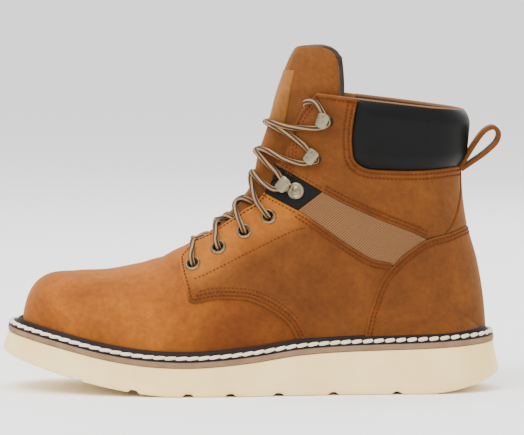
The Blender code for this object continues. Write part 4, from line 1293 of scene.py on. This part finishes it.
class Seams:
    """The seam lines of one side, as lines on the last."""

    def __init__(self, side):
        self.side = side
        self.throat = throat_edge(side)
        front = seam(QUARTER_FRONT, side)
        low = rib_line(QUARTER_START, side, stop=QUARTER_START + 0.002)[:1]
        start = nearest_index(self.throat, front[-1] + np.array([0, 0, 0.003]))
        front = np.vstack([low, front, self.throat[start:start + 1]])
        self.front = settled(spaced(front, SEAM_STEP))
        patch_low = seam(PATCH_LOWER, side)
        patch_high = seam(PATCH_UPPER, side)
        low_end = nearest_index(self.throat, patch_low[0])
        high_end = nearest_index(self.throat, patch_high[0])
        self.eyestay = self.throat[start:low_end + 1]
        self.patch_front = self.throat[low_end:high_end + 1]
        self.shaft_front = self.throat[high_end:]
        self.patch_low = settled(link_lines(self.throat[low_end:low_end + 1], patch_low))
        self.patch_high = settled(link_lines(self.throat[high_end:high_end + 1], patch_high))
        self.strap_low = seam(STRAP_LOWER, side)
        self.strap_high = seam(STRAP_UPPER, side)
        self.patch_back = settled(link_lines(self.strap_low[:1], self.strap_high[:1]))
        counter_foot = rib_line(COUNTER_START, side, stop=COUNTER_START + 0.002)[:1]
        counter = seam(COUNTER_FRONT, side)
        self.counter_front = settled(link_lines(counter_foot, counter))
        self.counter_top = seam(COUNTER_TOP, side, round_back=True)
        self.backstay = seam(BACKSTAY_EDGE, side)
        self.collar_low = seam(COLLAR_LOWER, side, round_back=True)
        collar_front = seam(COLLAR_FRONT, side)
        edge = rim(side)
        corner = nearest_index(edge, collar_front[-1] + np.array([0, 0, 0.004]))
        self.rim_back = edge[:corner + 1]
        self.rim_front = edge[corner:]
        self.collar_front = settled(link_lines(collar_front, edge[corner:corner + 1]))


def seams_of(both, side):
    return both[0] if side == LATERAL else both[1]


def cut_at(line, place, keep_start=True):
    """A line up to the point nearest to a place, or from it on."""
    index = nearest_index(line, place)
    return line[:index + 1] if keep_start else line[index:]


def link_lines(*lines):
    """Lines joined end to end as one line."""
    return spaced(np.vstack(lines), SEAM_STEP)


def make_quarter(seams, holes, word, thread):
    end = seams.strap_low[-1:]
    right = link_lines(seams.counter_front, end)
    top = link_lines(seams.eyestay, seams.patch_low, seams.strap_low)
    bottom = rib_line(QUARTER_START, seams.side, stop=COUNTER_START)
    bottom = np.vstack([seams.front[:1], bottom[1:-1], seams.counter_front[:1]])
    stitched = [(seams.front, FRONT_ROWS), (seams.strap_low, SEAM_ROWS), (seams.eyestay, EDGE_ROWS)]
    free = np.vstack([seams.front, top])
    points = panel_points(bottom, top, seams.front, right, LEATHER, stitched, free=free, coarse=1.2 * MM)
    sheet = grid_of(points)
    bmesh.ops.delete(sheet, geom=faces_near(sheet, holes, QUARTER_HOLE), context="FACES")
    add_piece("quarter_leather_" + word, sheet, [TAN_INSTEP], ("quarter_" + word,), sharp=80)
    inside = points[points.shape[0] // 2, points.shape[1] // 2]
    lower = seams.front[: int(0.66 * len(seams.front))]
    for line, rows in ((seams.front, FRONT_ROWS), (lower, (6.9 * MM,)), (seams.strap_low, SEAM_ROWS),
                       (seams.patch_low, SEAM_ROWS[:1]), (seams.eyestay, EDGE_ROWS)):
        sew_beside(thread, line, rows, inside, LEATHER)
    sew(thread, seam(EYESTAY_STITCH, seams.side), LEATHER - 0.05 * MM)


def make_shaft(seams, word, thread):
    corner = seams.backstay[0]
    counter_part = cut_at(seams.counter_top, corner)
    counter_part = cut_at(counter_part, seams.strap_high[-1], keep_start=False)
    bottom = link_lines(seams.patch_high, seams.strap_high, counter_part[1:], seams.backstay[:1])
    collar_part = cut_at(seams.collar_low, seams.backstay[-1])
    top = link_lines(seams.rim_front[::-1], seams.collar_front[::-1], collar_part, seams.backstay[-1:])
    stitched = [(seams.collar_front, COLLAR_ROWS), (collar_part, COLLAR_ROWS),
                (seams.strap_high, SEAM_ROWS), (seams.shaft_front, EDGE_ROWS),
                (seams.rim_front, EDGE_ROWS)]
    points = panel_points(bottom, top, seams.shaft_front, seams.backstay, LEATHER, stitched, coarse=1.3 * MM)
    add_piece("shaft_leather_" + word, grid_of(points), [TAN_SHADED], ("shaft_panel_" + word,),
              sharp=80)
    inside = points[points.shape[0] // 2, points.shape[1] // 2]
    collar_outline = link_lines(seams.collar_front[::-1], collar_part)
    front_outline = link_lines(seams.shaft_front, seams.rim_front[::-1])
    for line, rows in ((collar_outline, COLLAR_ROWS), (seams.strap_high, SEAM_ROWS),
                       (seams.patch_high, SEAM_ROWS[:1]), (front_outline, (2.4 * MM,)),
                       (seams.shaft_front, (4.6 * MM,))):
        sew_beside(thread, line, rows, inside, LEATHER)


def make_strap(seams, word):
    right = cut_at(cut_at(seams.counter_top, seams.strap_high[-1]), seams.strap_low[-1], keep_start=False)
    right = link_lines(seams.strap_low[-1:], right, seams.strap_high[-1:])
    points = panel_points(seams.strap_low, seams.strap_high, seams.patch_back, right, WEBBING,
                          edge=0.5 * MM, coarse=1.0 * MM)
    add_piece("strap_webbing_" + word, grid_of(points), [TAPE], ("strap_" + word,), sharp=80)


def make_patch(seams, word):
    points = panel_points(seams.patch_low, seams.patch_high, seams.patch_front, seams.patch_back,
                          1.05 * LEATHER, edge=0.8 * MM, coarse=1.0 * MM)
    add_piece("patch_leather_" + word, grid_of(points), [PATCH_BLACK],
              ("hook_patch_" + word,), sharp=80)


def make_counter(both, thread):
    front = {seams.side: seams.counter_front for seams in both}
    bottom = around(lambda side: np.vstack([front[side][:1], rib_line(COUNTER_START, side)[1:]]))
    top = around(lambda side: seams_of(both, side).counter_top)
    left, right = front[LATERAL], front[MEDIAL]
    free = np.vstack([left, top, right[::-1]])
    stitched = [(left, SEAM_ROWS), (right, SEAM_ROWS), (top, SEAM_ROWS)]
    points = panel_points(bottom, top, left, right, COUNTER_LEATHER, stitched, free=free, coarse=1.5 * MM)
    add_piece("counter_leather", grid_of(points), [TAN_SHADED], ("heel_counter",), sharp=80)
    for seams in both:
        inside = seams.counter_front[-1] + np.array([0.02, 0, -0.02])
        outline = link_lines(seams.counter_front, seams.counter_top)
        sew_beside(thread, outline, SEAM_ROWS, inside, COUNTER_LEATHER)


def make_backstay(both):
    edges = {seams.side: seams.backstay for seams in both}
    bottom = around(lambda side: cut_at(seams_of(both, side).counter_top, edges[side][0], keep_start=False))
    top = around(lambda side: cut_at(seams_of(both, side).collar_low, edges[side][-1], keep_start=False))
    left, right = edges[LATERAL], edges[MEDIAL]
    bottom = np.vstack([left[:1], bottom[1:-1], right[:1]])
    top = np.vstack([left[-1:], top[1:-1], right[-1:]])
    points = panel_points(bottom, top, left, right, BACKSTAY_LEATHER, coarse=1.3 * MM)
    add_piece("backstay_leather", grid_of(points), [TAN_SHADED], ("backstay",), sharp=80)


def make_collar(both):
    """The padded collar: full in the middle, drawn in along its seams, with a few soft dents."""
    bottom = around(lambda side: seams_of(both, side).collar_low)
    top = around(lambda side: seams_of(both, side).rim_back[::-1])
    left, right = seams_of(both, LATERAL).collar_front, seams_of(both, MEDIAL).collar_front
    us = edge_spacing(lengths_along(bottom)[-1], 0.6 * MM, 6 * MM, 1.4 * MM)
    vs = edge_spacing(lengths_along(left)[-1], 0.6 * MM, 6 * MM, 1.4 * MM)
    points = coons(bottom, top, left, right, us, vs)
    flat = settled(points.reshape(-1, 3))
    outward = outward_at(flat)
    border = np.vstack([bottom, right, top[::-1], left[::-1]])
    gap = distances(flat, border)
    fill = np.sin(np.clip(gap / (10 * MM), 0, 1) * math.pi / 2) ** 0.8
    lift = COLLAR_PAD * (0.10 * rounded_edge(gap, 0.6 * MM) + 0.90 * fill)
    for x, z, side, radius, depth in COLLAR_DENTS:
        place = seen(x, z, side)
        away = np.linalg.norm(flat - place, axis=1)
        lift -= depth * np.exp(-(away / radius) ** 2)
    made = add_piece("collar_pad", grid_of((flat + outward * lift[:, None]).reshape(points.shape)), [BLACK],
                     ("collar",), sharp=80)


COLLAR_DENTS = [
    # x, z, side, radius, depth
    (0.094, 0.151, LATERAL, 0.016, 0.0006),
    (0.110, 0.168, LATERAL, 0.010, 0.0004),
    (0.094, 0.153, MEDIAL, 0.018, 0.0006),
]


def swept(path, section, ups):
    """A bar along a path, with a section of points (across, up) and an up vector for each path point."""
    ahead = unit(np.gradient(path, axis=0))
    across = unit(np.cross(ahead, ups))
    upward = np.cross(across, ahead)
    ring = np.vstack([section, section[:1]])
    points = path[:, None] + across[:, None] * ring[None, :, :1] + upward[:, None] * ring[None, :, 1:]
    reach = lengths_along(path)
    rounds = np.linspace(0, 1, len(ring))
    spots = np.stack(np.meshgrid(rounds, reach), axis=2)
    return grid_of(points, spots)


def circle(radius, count, squash=1.0):
    turn = np.linspace(0, 2 * math.pi, count, endpoint=False)
    return np.column_stack([radius * np.cos(turn), radius * squash * np.sin(turn)])


ROLL_RADIUS = 1.9 * MM
ROLL_INSET = 0.8 * MM
ROLL_DROP = 1.2 * MM


def make_lining_roll(both):
    """The lining's tape, rolled over the top of the collar."""
    line = around(lambda side: seams_of(both, side).rim_back[::-1])
    path = spaced(line, 1.2 * MM)
    outward = outward_at(settled(path))
    outward[:, 2] = 0
    path = path - unit(outward) * ROLL_INSET
    path[:, 2] -= ROLL_DROP
    sheet = swept(path, circle(ROLL_RADIUS, 14, 0.85), np.tile([0.0, 0.0, 1.0], (len(path), 1)))
    layer = sheet.loops.layers.uv["UVMap"]
    for face in sheet.faces:
        for loop in face.loops:
            loop[layer].uv = loop[layer].uv.yx
    add_piece("lining_roll", sheet, [ROLL], sharp=80)


# Tongue

TONGUE_RISE = 0.0296
TONGUE_TILT = 0.0104
TONGUE_WRAP = 0.0102
TONGUE_EDGE_SHARE = {LATERAL: 0.607, MEDIAL: 0.585}
TONGUE_THICKNESS = 0.0052
TONGUE_ROLL = 0.0018
LABEL_THICKNESS = 0.0010
# How far the top edge lies below the rise, as shares of it, from the tongue's middle to its side
TONGUE_FALL = [
    # share across, share below
    (0.00, 0.230),
    (0.10, 0.215),
    (0.20, 0.185),
    (0.30, 0.150),
    (0.42, 0.110),
    (0.58, 0.085),
    (0.74, 0.098),
    (0.86, 0.150),
    (0.94, 0.240),
    (1.00, 0.380),
]


def eased(value):
    value = np.clip(value, 0.0, 1.0)
    return value * value * (3 - 2 * value)


def softness(across):
    """How far the tongue's padding swells out at distances from its middle."""
    return 0.7 * MM * np.cos(np.clip(across / (0.5 * THROAT_GAP), -1, 1) * math.pi / 2)


def tongue_ring(crown, share):
    """A ring of the tongue above the collar, from the ring at the collar's height."""
    sideways = 1 - np.linspace(0, 1, len(crown))
    fall = np.interp(sideways, *np.array(TONGUE_FALL).T)
    reach = share * (1 - fall)
    ring = crown.copy()
    ring[:, 0] += TONGUE_TILT * reach - TONGUE_WRAP * sideways**1.3 * reach
    ring[:, 0] += TONGUE_ROLL * share**5 * (1 - sideways)
    ring[:, 1] *= 1 - 0.06 * share**2
    ring[:, 2] += TONGUE_RISE * reach + (crown[-1, 2] - crown[:, 2]) * share
    return ring


def tongue_face(rows, rises, side, lift=0.0):
    """The tongue's outer face on one side: sunk under the leather at its edges and full in the throat."""
    gap_rows = last_rows(np.linspace(THROAT_ROW, RIM_ROW, 60))
    shares = np.linspace(TONGUE_EDGE_SHARE[side], 1, 34)
    body = skin(rows, shares, side, closed=True)
    tops = [tongue_ring(body[-1], share) for share in rises]
    points = np.concatenate([body, np.array(tops)])
    every_row = np.concatenate([rows, np.full(len(tops), RIM_ROW)])
    open_rows = np.interp(every_row, (8.1, 9.0, 11.2, 13.2), (0.0, 0.42, 0.50, 1.0))[:, None]
    half_gap = np.interp(points[:, :, 2], gap_rows["top"][1], gap_rows["half_gap"])
    inside = eased((0.86 * half_gap - np.abs(points[:, :, 1])) / (0.40 * half_gap + 0.001))
    inside = inside * open_rows
    depth = (WALL + 1.5 * MM) * (1 - inside)
    outward = grid_normals(points)
    outward *= np.sign(np.sum(outward * (points - np.array([0.05, 0, 0.08])), axis=(0, 1)).sum())
    return points - outward * (depth - inside * softness(points[:, :, 1]) - lift)[:, :, None]


def make_tongue():
    rows = np.concatenate([np.linspace(7.6, 12, 60)[:-1], np.linspace(12, RIM_ROW, 70)])
    rises = np.linspace(0, 1, 30)[1:]
    whole = joined([grid_of(tongue_face(rows, rises, side)) for side, _ in SIDES], 0.0004)
    faced_outwards(whole, (0.05, 0.0, 0.06))
    made = add_piece("tongue_pad", whole, [TAN_SHADED, MESH_LINING], ("tongue",),
                     fix_normals=False, sharp=80)
    thicken(made, TONGUE_THICKNESS, material_offset=1, material_offset_rim=1)


def make_label():
    """The bare leather patch on the tongue's front, above the lace."""
    rows = np.linspace(17.1, RIM_ROW, 30)
    rises = np.linspace(0, 0.45, 16)[1:]
    faces = [tongue_face(rows, rises, side, 0.35 * MM)[:, 20:] for side, _ in SIDES]
    whole = joined([grid_of(face) for face in faces], 0.0003)
    made = add_piece("tongue_label", whole, [LABEL], sharp=80)
    thicken(made, LABEL_THICKNESS)


# Metalware

EYELET_RADIUS = 0.0049
EYELET_HOLE = 0.0030
EYELET_HEIGHT = 0.0012
RIVET_RADIUS = 0.0053
HOOK_LENGTH = 0.0078
HOOK_WIDTH = 0.0096
HOOK_METAL = 0.0010
HOOK_STAND = 0.0045


def located(along, climb, side):
    """The row number and the share up its closed ring of a place in the side view."""
    x, z = side_view(along, climb)
    at = np.linspace(8, RIM_ROW, 361)
    share = np.linspace(0, 1, 121)
    grid = skin(at, share, side, closed=True)
    gap = (grid[:, :, 0] - x) ** 2 + (grid[:, :, 2] - z) ** 2
    row, column = np.unravel_index(np.argmin(gap), gap.shape)
    return at[row], share[column]


def frame_at(row, share, side):
    """A frame on the last: X up the ring, Z out of the leather."""
    near = skin([row - 0.04, row + 0.04], [share - 0.01, min(share + 0.01, 1.0)], side, closed=True)
    up_ring = Vector(near[:, 1].sum(axis=0) - near[:, 0].sum(axis=0)).normalized()
    along_rows = Vector(near[1].sum(axis=0) - near[0].sum(axis=0)).normalized()
    outward = side * up_ring.cross(along_rows).normalized()
    across = outward.cross(up_ring)
    made = Matrix((up_ring, across, outward)).transposed().to_4x4()
    made.translation = Vector(near.reshape(-1, 3).mean(axis=0))
    return made


def perch(place, side, lift):
    """A frame on the upper, lifted out of the leather."""
    return frame_at(*located(*place, side), side) @ Matrix.Translation((0, 0, lift))


def turned(profile):
    """A ring or a head turned from a profile of radius and height."""
    whole = bmesh.new()
    corners = [whole.verts.new((radius, 0, height)) for radius, height in profile]
    edges = [whole.edges.new(pair) for pair in zip(corners, corners[1:])]
    bmesh.ops.spin(whole, geom=corners + edges, angle=2 * math.pi, steps=40, axis=(0, 0, 1),
                   cent=(0, 0, 0), use_merge=True)
    bmesh.ops.remove_doubles(whole, verts=whole.verts, dist=1e-6)
    return whole


def eyelet_ring():
    mid = (EYELET_RADIUS + EYELET_HOLE) / 2
    profile = [
        (EYELET_HOLE, -3.2 * MM),
        (EYELET_HOLE, 0.2 * MM),
        (EYELET_HOLE + 0.25 * MM, 0.75 * EYELET_HEIGHT),
        (mid, EYELET_HEIGHT),
        (EYELET_RADIUS - 0.5 * MM, 0.8 * EYELET_HEIGHT),
        (EYELET_RADIUS, 0.25 * EYELET_HEIGHT),
        (EYELET_RADIUS, -0.3 * MM),
        (EYELET_HOLE + 0.5 * MM, -0.4 * MM),
        (EYELET_HOLE + 0.5 * MM, -3.2 * MM),
        (EYELET_HOLE, -3.2 * MM),
    ]
    return turned(profile)


def rivet_head():
    radius = RIVET_RADIUS
    profile = [
        (0.0, 1.7 * MM),
        (0.28 * radius, 1.6 * MM),
        (0.50 * radius, 1.15 * MM),
        (0.56 * radius, 0.8 * MM),
        (0.64 * radius, 0.95 * MM),
        (0.80 * radius, 1.35 * MM),
        (0.94 * radius, 1.1 * MM),
        (1.0 * radius, 0.5 * MM),
        (1.0 * radius, -0.3 * MM),
    ]
    return turned(profile)


def hook_shape():
    """A speed hook: a foot plate, a bend at the front and a cap that curls back over the lace."""
    reach = HOOK_LENGTH / 2
    rows = [(0.95, 0.0), (0.2, 0.0), (-0.50, 0.02), (-0.86, 0.26), (-0.90, 0.66), (-0.62, 0.96), (0.0, 1.08),
            (0.55, 1.02), (0.95, 0.84)]
    widths = [0.62, 0.70, 0.72, 0.70, 0.78, 0.92, 1.0, 1.0, 0.86]
    at = np.linspace(0, len(rows) - 1, 41)
    path = spline([(x * reach, z * HOOK_STAND) for x, z in rows], at)
    wide = np.interp(at, np.arange(len(rows)), widths) * HOOK_WIDTH / 2
    shares = np.linspace(-1, 1, 13)
    points = np.zeros((len(at), len(shares), 3))
    points[:, :, 0] = path[:, :1]
    points[:, :, 1] = wide[:, None] * shares[None]
    crown = np.clip((at - 5) / 2, 0, 1)[:, None] * (1 - shares[None] ** 2) * 0.5 * MM
    points[:, :, 2] = path[:, 1:] + crown
    end = np.clip((at - 7.2) / 0.8, 0, 1)[:, None]
    points[:, :, 1] *= 1 - 0.22 * end**2
    return grid_of(points)


def make_metal(side, word):
    for count, place in enumerate(EYELETS, 1):
        made = eyelet_ring()
        made.transform(perch(place, side, LEATHER))
        add_piece(f"eyelet_ring_{word}_{count}", made, [NICKEL],
                  (f"eyelet_{word}_{count}",))
    for count, place in enumerate(HOOKS, 1):
        spin = Matrix.Rotation(math.radians(180), 4, "Z")
        seat = perch(place, side, LEATHER + 0.4 * MM)
        made = hook_shape()
        made.transform(seat @ spin)
        piece = add_piece(f"lace_hook_{word}_{count}", made, [NICKEL],
                          (f"hook_{word}_{count}",))
        thicken(piece, HOOK_METAL, offset=0)
        rounding = piece.modifiers.new("rounding", "BEVEL")
        rounding.width = 0.3 * MM
        rounding.segments = 2
        rounding.limit_method = "ANGLE"
        # A black disc under the hook's cap and round its foot: painted shadow of the hook on the leather.
        shadow_disc = turned([(0, 1.1 * MM), (2.4 * MM, 1.0 * MM), (3.2 * MM, 0.6 * MM), (3.5 * MM, -0.6 * MM)])
        shadow_disc.transform(perch(place, side, LEATHER) @ Matrix.Translation((-2.6 * MM, 0, 0)))
        add_piece(f"hook_shadow_disc_{word}_{count}", shadow_disc, [HOOK_SHADOW_BLACK])
    head = rivet_head()
    head.transform(perch(RIVET, side, 1.05 * LEATHER))
    add_piece("rivet_head_" + word, head, [NICKEL], ("rivet_" + word,))
    neck = bmesh.new()
    start, end = (perch(place, side, 1.5 * LEATHER).translation for place in (HOOKS[0], RIVET))
    outward = outward_at(settled([start]))[0]
    capsule(neck, start, end, 2.6 * MM, detail=2, flat=0.3, up=outward)
    add_piece("hook_neck_" + word, neck, [NICKEL])


# Pull loop

LOOP_STRAP = 0.0027
LOOP_REACH = 0.0228
LOOP_RISE = 0.0258
LOOP_WIDTH = 0.018


def make_pull_loop():
    root_x = float(FEATHER.along(0.9454))
    low = COLLAR_BACK_HEIGHT * 0.788
    rows = [(-0.02, 0.0), (0.13, 0.20), (0.41, 0.60), (0.67, 0.90), (0.92, 1.00), (1.07, 0.86), (0.99, 0.63),
            (0.68, 0.37), (0.34, 0.16), (0.04, -0.02)]
    line = spline([(root_x + x * LOOP_REACH, low + z * LOOP_RISE) for x, z in rows],
                  np.linspace(0, len(rows) - 1, 90))
    path = np.column_stack([line[:, 0], np.zeros(len(line)), line[:, 1]])
    half, thick = LOOP_WIDTH / 2, LOOP_STRAP / 2
    corner = 0.7 * MM
    across = np.array([-half, -half + 0.3 * corner, -half + corner, 0,
                       half - corner, half - 0.3 * corner, half])
    drop = np.array([0.55, 0.9, 1, 1, 1, 0.9, 0.55]) * thick
    section = np.vstack([np.column_stack([across, drop]), np.column_stack([across[::-1], -drop])])
    ahead = np.gradient(path, axis=0)
    ups = np.cross(np.tile([0.0, 1.0, 0.0], (len(path), 1)), ahead)
    sheet = swept(path, section, ups)
    centre = path.mean(axis=0)
    for face in sheet.faces:
        middle = np.array(face.calc_center_median())
        nearest = path[np.argmin(np.linalg.norm(path[:, [0, 2]] - middle[[0, 2]], axis=1))]
        towards = np.dot(middle - nearest, centre - nearest)
        face.material_index = 1 if towards > 0 and abs(middle[1]) < half - 1.6 * MM else 0
    add_piece("pull_loop_strap", sheet, [TAN_SHADED, GREY_TAPE], ("pull_loop",), sharp=70)


# Lace

LACE_RADIUS = 0.00168


def lace_point(row, share, side, lift):
    return np.array(frame_at(row, share, side) @ Vector((0, 0, lift)))


# The course of the lace on each side, as rows and shares of the last and lifts in mm. Each list goes
# with one crossing: first up from an eyelet or hook, then over the ridge and down to the next one.
LEAVING = [
    [(8.56, 0.738, 3.2), (8.60, 0.870, 2.0)],
    [(9.34, 0.700, 3.4), (9.44, 0.860, 2.0)],
    [(10.12, 0.690, 3.4), (10.24, 0.850, 2.0)],
    [(11.10, 0.742, 3.4), (11.45, 0.850, 2.2), (11.80, 0.930, 1.8)],
    [(13.20, 0.718, 3.7), (13.30, 0.745, 3.3), (13.32, 0.815, 2.7), (13.42, 0.928, 2.7)],
    [(16.96, 0.697, 3.7), (17.06, 0.718, 3.3), (17.04, 0.800, 2.7), (16.72, 0.928, 2.7)],
]
CROSSINGS = [
    # row, lift of the upper strand, lift of the lower strand
    (8.68, -0.2, -1.9),
    (9.54, -0.2, -1.9),
    (10.40, -0.2, -1.9),
    (12.00, 0.9, -0.9),
    (13.55, 2.7, 1.5),
    (16.66, 2.7, 1.5),
]
ARRIVING = [
    [(8.98, 0.870, -0.6), (9.20, 0.760, -2.6), (9.24, 0.685, -3.5)],
    [(9.82, 0.870, -0.6), (10.00, 0.760, -2.6), (10.04, 0.660, -3.5)],
    [(10.72, 0.870, -0.6), (10.96, 0.760, -2.6), (11.00, 0.690, -3.5)],
    [(12.04, 0.900, 1.6), (12.06, 0.778, 3.0), (12.22, 0.700, 3.4), (12.62, 0.672, 3.7)],
    [(14.26, 0.860, 2.9), (14.90, 0.765, 3.2), (15.74, 0.715, 3.4), (16.36, 0.682, 3.7)],
    [(17.00, 0.900, 2.9), (17.56, 0.795, 3.2), (18.42, 0.680, 3.4), (18.80, 0.636, 3.7)],
]
# Over the top hook, forward to the leather's front edge and down behind it
LACE_END = [
    (19.24, 0.640, 3.8),
    (19.38, 0.652, 3.6),
    (19.60, 0.674, 3.4),
    (19.68, 0.698, 3.2),
    (19.60, 0.716, 2.8),
    (19.48, 0.730, 1.2),
    (19.32, 0.736, -1.8),
    (19.05, 0.722, -3.4),
]


def laid(table, side):
    """The points of a table of rows, shares and lifts on one side."""
    return [lace_point(row, share, side, lift * MM) for row, share, lift in table]


def lace_route(first_side):
    """The route of one half of the lace: through each eyelet and round each hook, from side to side."""
    spots = EYELETS + HOOKS
    side = first_side
    points = []
    for index, place in enumerate(spots):
        row, share = located(*place, side)
        if index < len(EYELETS):
            points.append(lace_point(row, share + 0.02, side, -3.4 * MM))
            points.append(lace_point(row, share + 0.004, side, -1.6 * MM))
            points.append(lace_point(row, share + 0.004, side, LEATHER + 0.6 * MM))
            points.append(lace_point(row + 0.02, share + 0.040, side, LEATHER + EYELET_HEIGHT + LACE_RADIUS))
        else:
            points.append(lace_point(row, share - 0.02, side, LEATHER + LACE_RADIUS + 0.6 * MM))
        if index + 1 == len(spots):
            return np.array(points + laid(LACE_END, side))
        row, upper, lower = CROSSINGS[index]
        lift = (upper if first_side == LATERAL else lower) * MM
        points += laid(LEAVING[index], side)
        points.append(lace_point(row, 1.0, side, lift))
        points += laid(ARRIVING[index], -side)
        side = -side


def make_laces():
    names = [f"lace_{count}" for count in range(1, len(EYELETS) + len(HOOKS))]
    for first, word, stands_for in ((LATERAL, "outer", names), (MEDIAL, "inner", ())):
        route = lace_route(first)
        fine = spline(route, np.linspace(0, len(route) - 1, 24 * len(route)))
        path = spaced(fine, 0.8 * MM)
        for _ in range(3):
            path[1:-1] = 0.25 * path[:-2] + 0.5 * path[1:-1] + 0.25 * path[2:]
        ups = transported(path)
        sheet = swept(path, circle(LACE_RADIUS, 12), ups)
        add_piece("lace_cord_" + word, joined([sheet], 0), [CORD], stands_for, sharp=80)


def transported(path):
    """Up vectors that turn as little as they can along a path."""
    ahead = unit(np.gradient(path, axis=0))
    up = np.cross(ahead[0], [0.3, 0.2, 1.0])
    ups = []
    for direction in ahead:
        up = unit(up - direction * np.dot(up, direction))
        ups.append(up)
    return np.array(ups)


# Studio

CAMERA_DISTANCE = 2.700
CAMERA_RISE = math.radians(4)
CAMERA_TARGET = Vector((0.0072, 0.0, 0.1069))
METRES_PER_PIXEL = 0.0006263
PHOTO_WIDTH = 524


def make_studio():
    floor_mesh = bmesh.new()
    bmesh.ops.create_grid(floor_mesh, x_segments=1, y_segments=1, size=6)
    mesh = bpy.data.meshes.new("floor")
    floor_mesh.to_mesh(mesh)
    floor_mesh.free()
    floor = bpy.data.objects.new("floor", mesh)
    bpy.context.collection.objects.link(floor)
    floor_look, shader = start_material("pale_floor", 0.9)
    shader.inputs["Base Color"].default_value = colour("#FBFBFA")
    shader.inputs["Specular IOR Level"].default_value = 0.1
    mesh.materials.append(floor_look)

    world = bpy.data.worlds.new("studio")
    bpy.context.scene.world = world
    world.use_nodes = True
    background = world.node_tree.nodes["Background"]
    background.inputs["Color"].default_value = (1.0, 1.0, 1.0, 1.0)
    background.inputs["Strength"].default_value = 1.5

    lights = [
        # name, place, target, size, power
        ("key", (-1.0, -1.1, 2.0), (0.0, 0.0, 0.08), 1.4, 46),
        ("fill", (1.4, -1.3, 0.9), (0.03, 0.0, 0.08), 1.6, 3),
        ("top", (-0.1, 0.1, 1.9), (0.0, 0.0, 0.1), 1.6, 30),
        ("rim", (0.7, 1.4, 1.0), (0.0, 0.0, 0.1), 1.2, 10),
    ]
    for name, place, target, size, power_watts in lights:
        data = bpy.data.lights.new(name, "AREA")
        data.shape = "DISK"
        data.size = size
        data.energy = power_watts
        lamp = bpy.data.objects.new(name, data)
        lamp.location = place
        lamp.rotation_euler = (Vector(target) - Vector(place)).to_track_quat("-Z", "Y").to_euler()
        bpy.context.collection.objects.link(lamp)

    data = bpy.data.cameras.new("camera")
    data.sensor_width = 36
    data.lens = 36 * CAMERA_DISTANCE / (METRES_PER_PIXEL * PHOTO_WIDTH)
    data.clip_start = 0.1
    data.clip_end = 20
    camera = bpy.data.objects.new("camera", data)
    back = Vector((0, -math.cos(CAMERA_RISE), math.sin(CAMERA_RISE)))
    camera.location = CAMERA_TARGET + back * CAMERA_DISTANCE
    camera.rotation_euler = (-back).to_track_quat("-Z", "Y").to_euler()
    bpy.context.collection.objects.link(camera)
    bpy.context.scene.camera = camera


def main():
    make_outsole()
    make_midsole()
    make_welt()
    make_insole()
    holes = [perch(place, side, 0).translation for side, _ in SIDES for place in EYELETS]
    make_upper(holes)
    both = [Seams(side) for side, _ in SIDES]
    thread = bmesh.new()
    for seams, (side, word) in zip(both, SIDES):
        make_quarter(seams, holes, word, thread)
        make_shaft(seams, word, thread)
        make_strap(seams, word)
        make_patch(seams, word)
        make_metal(side, word)
    make_counter(both, thread)
    make_backstay(both)
    make_collar(both)
    make_lining_roll(both)
    make_tongue()
    make_label()
    add_piece("upper_stitches", thread, [THREAD], fix_normals=False)
    make_pull_loop()
    make_laces()
    make_studio()


main()
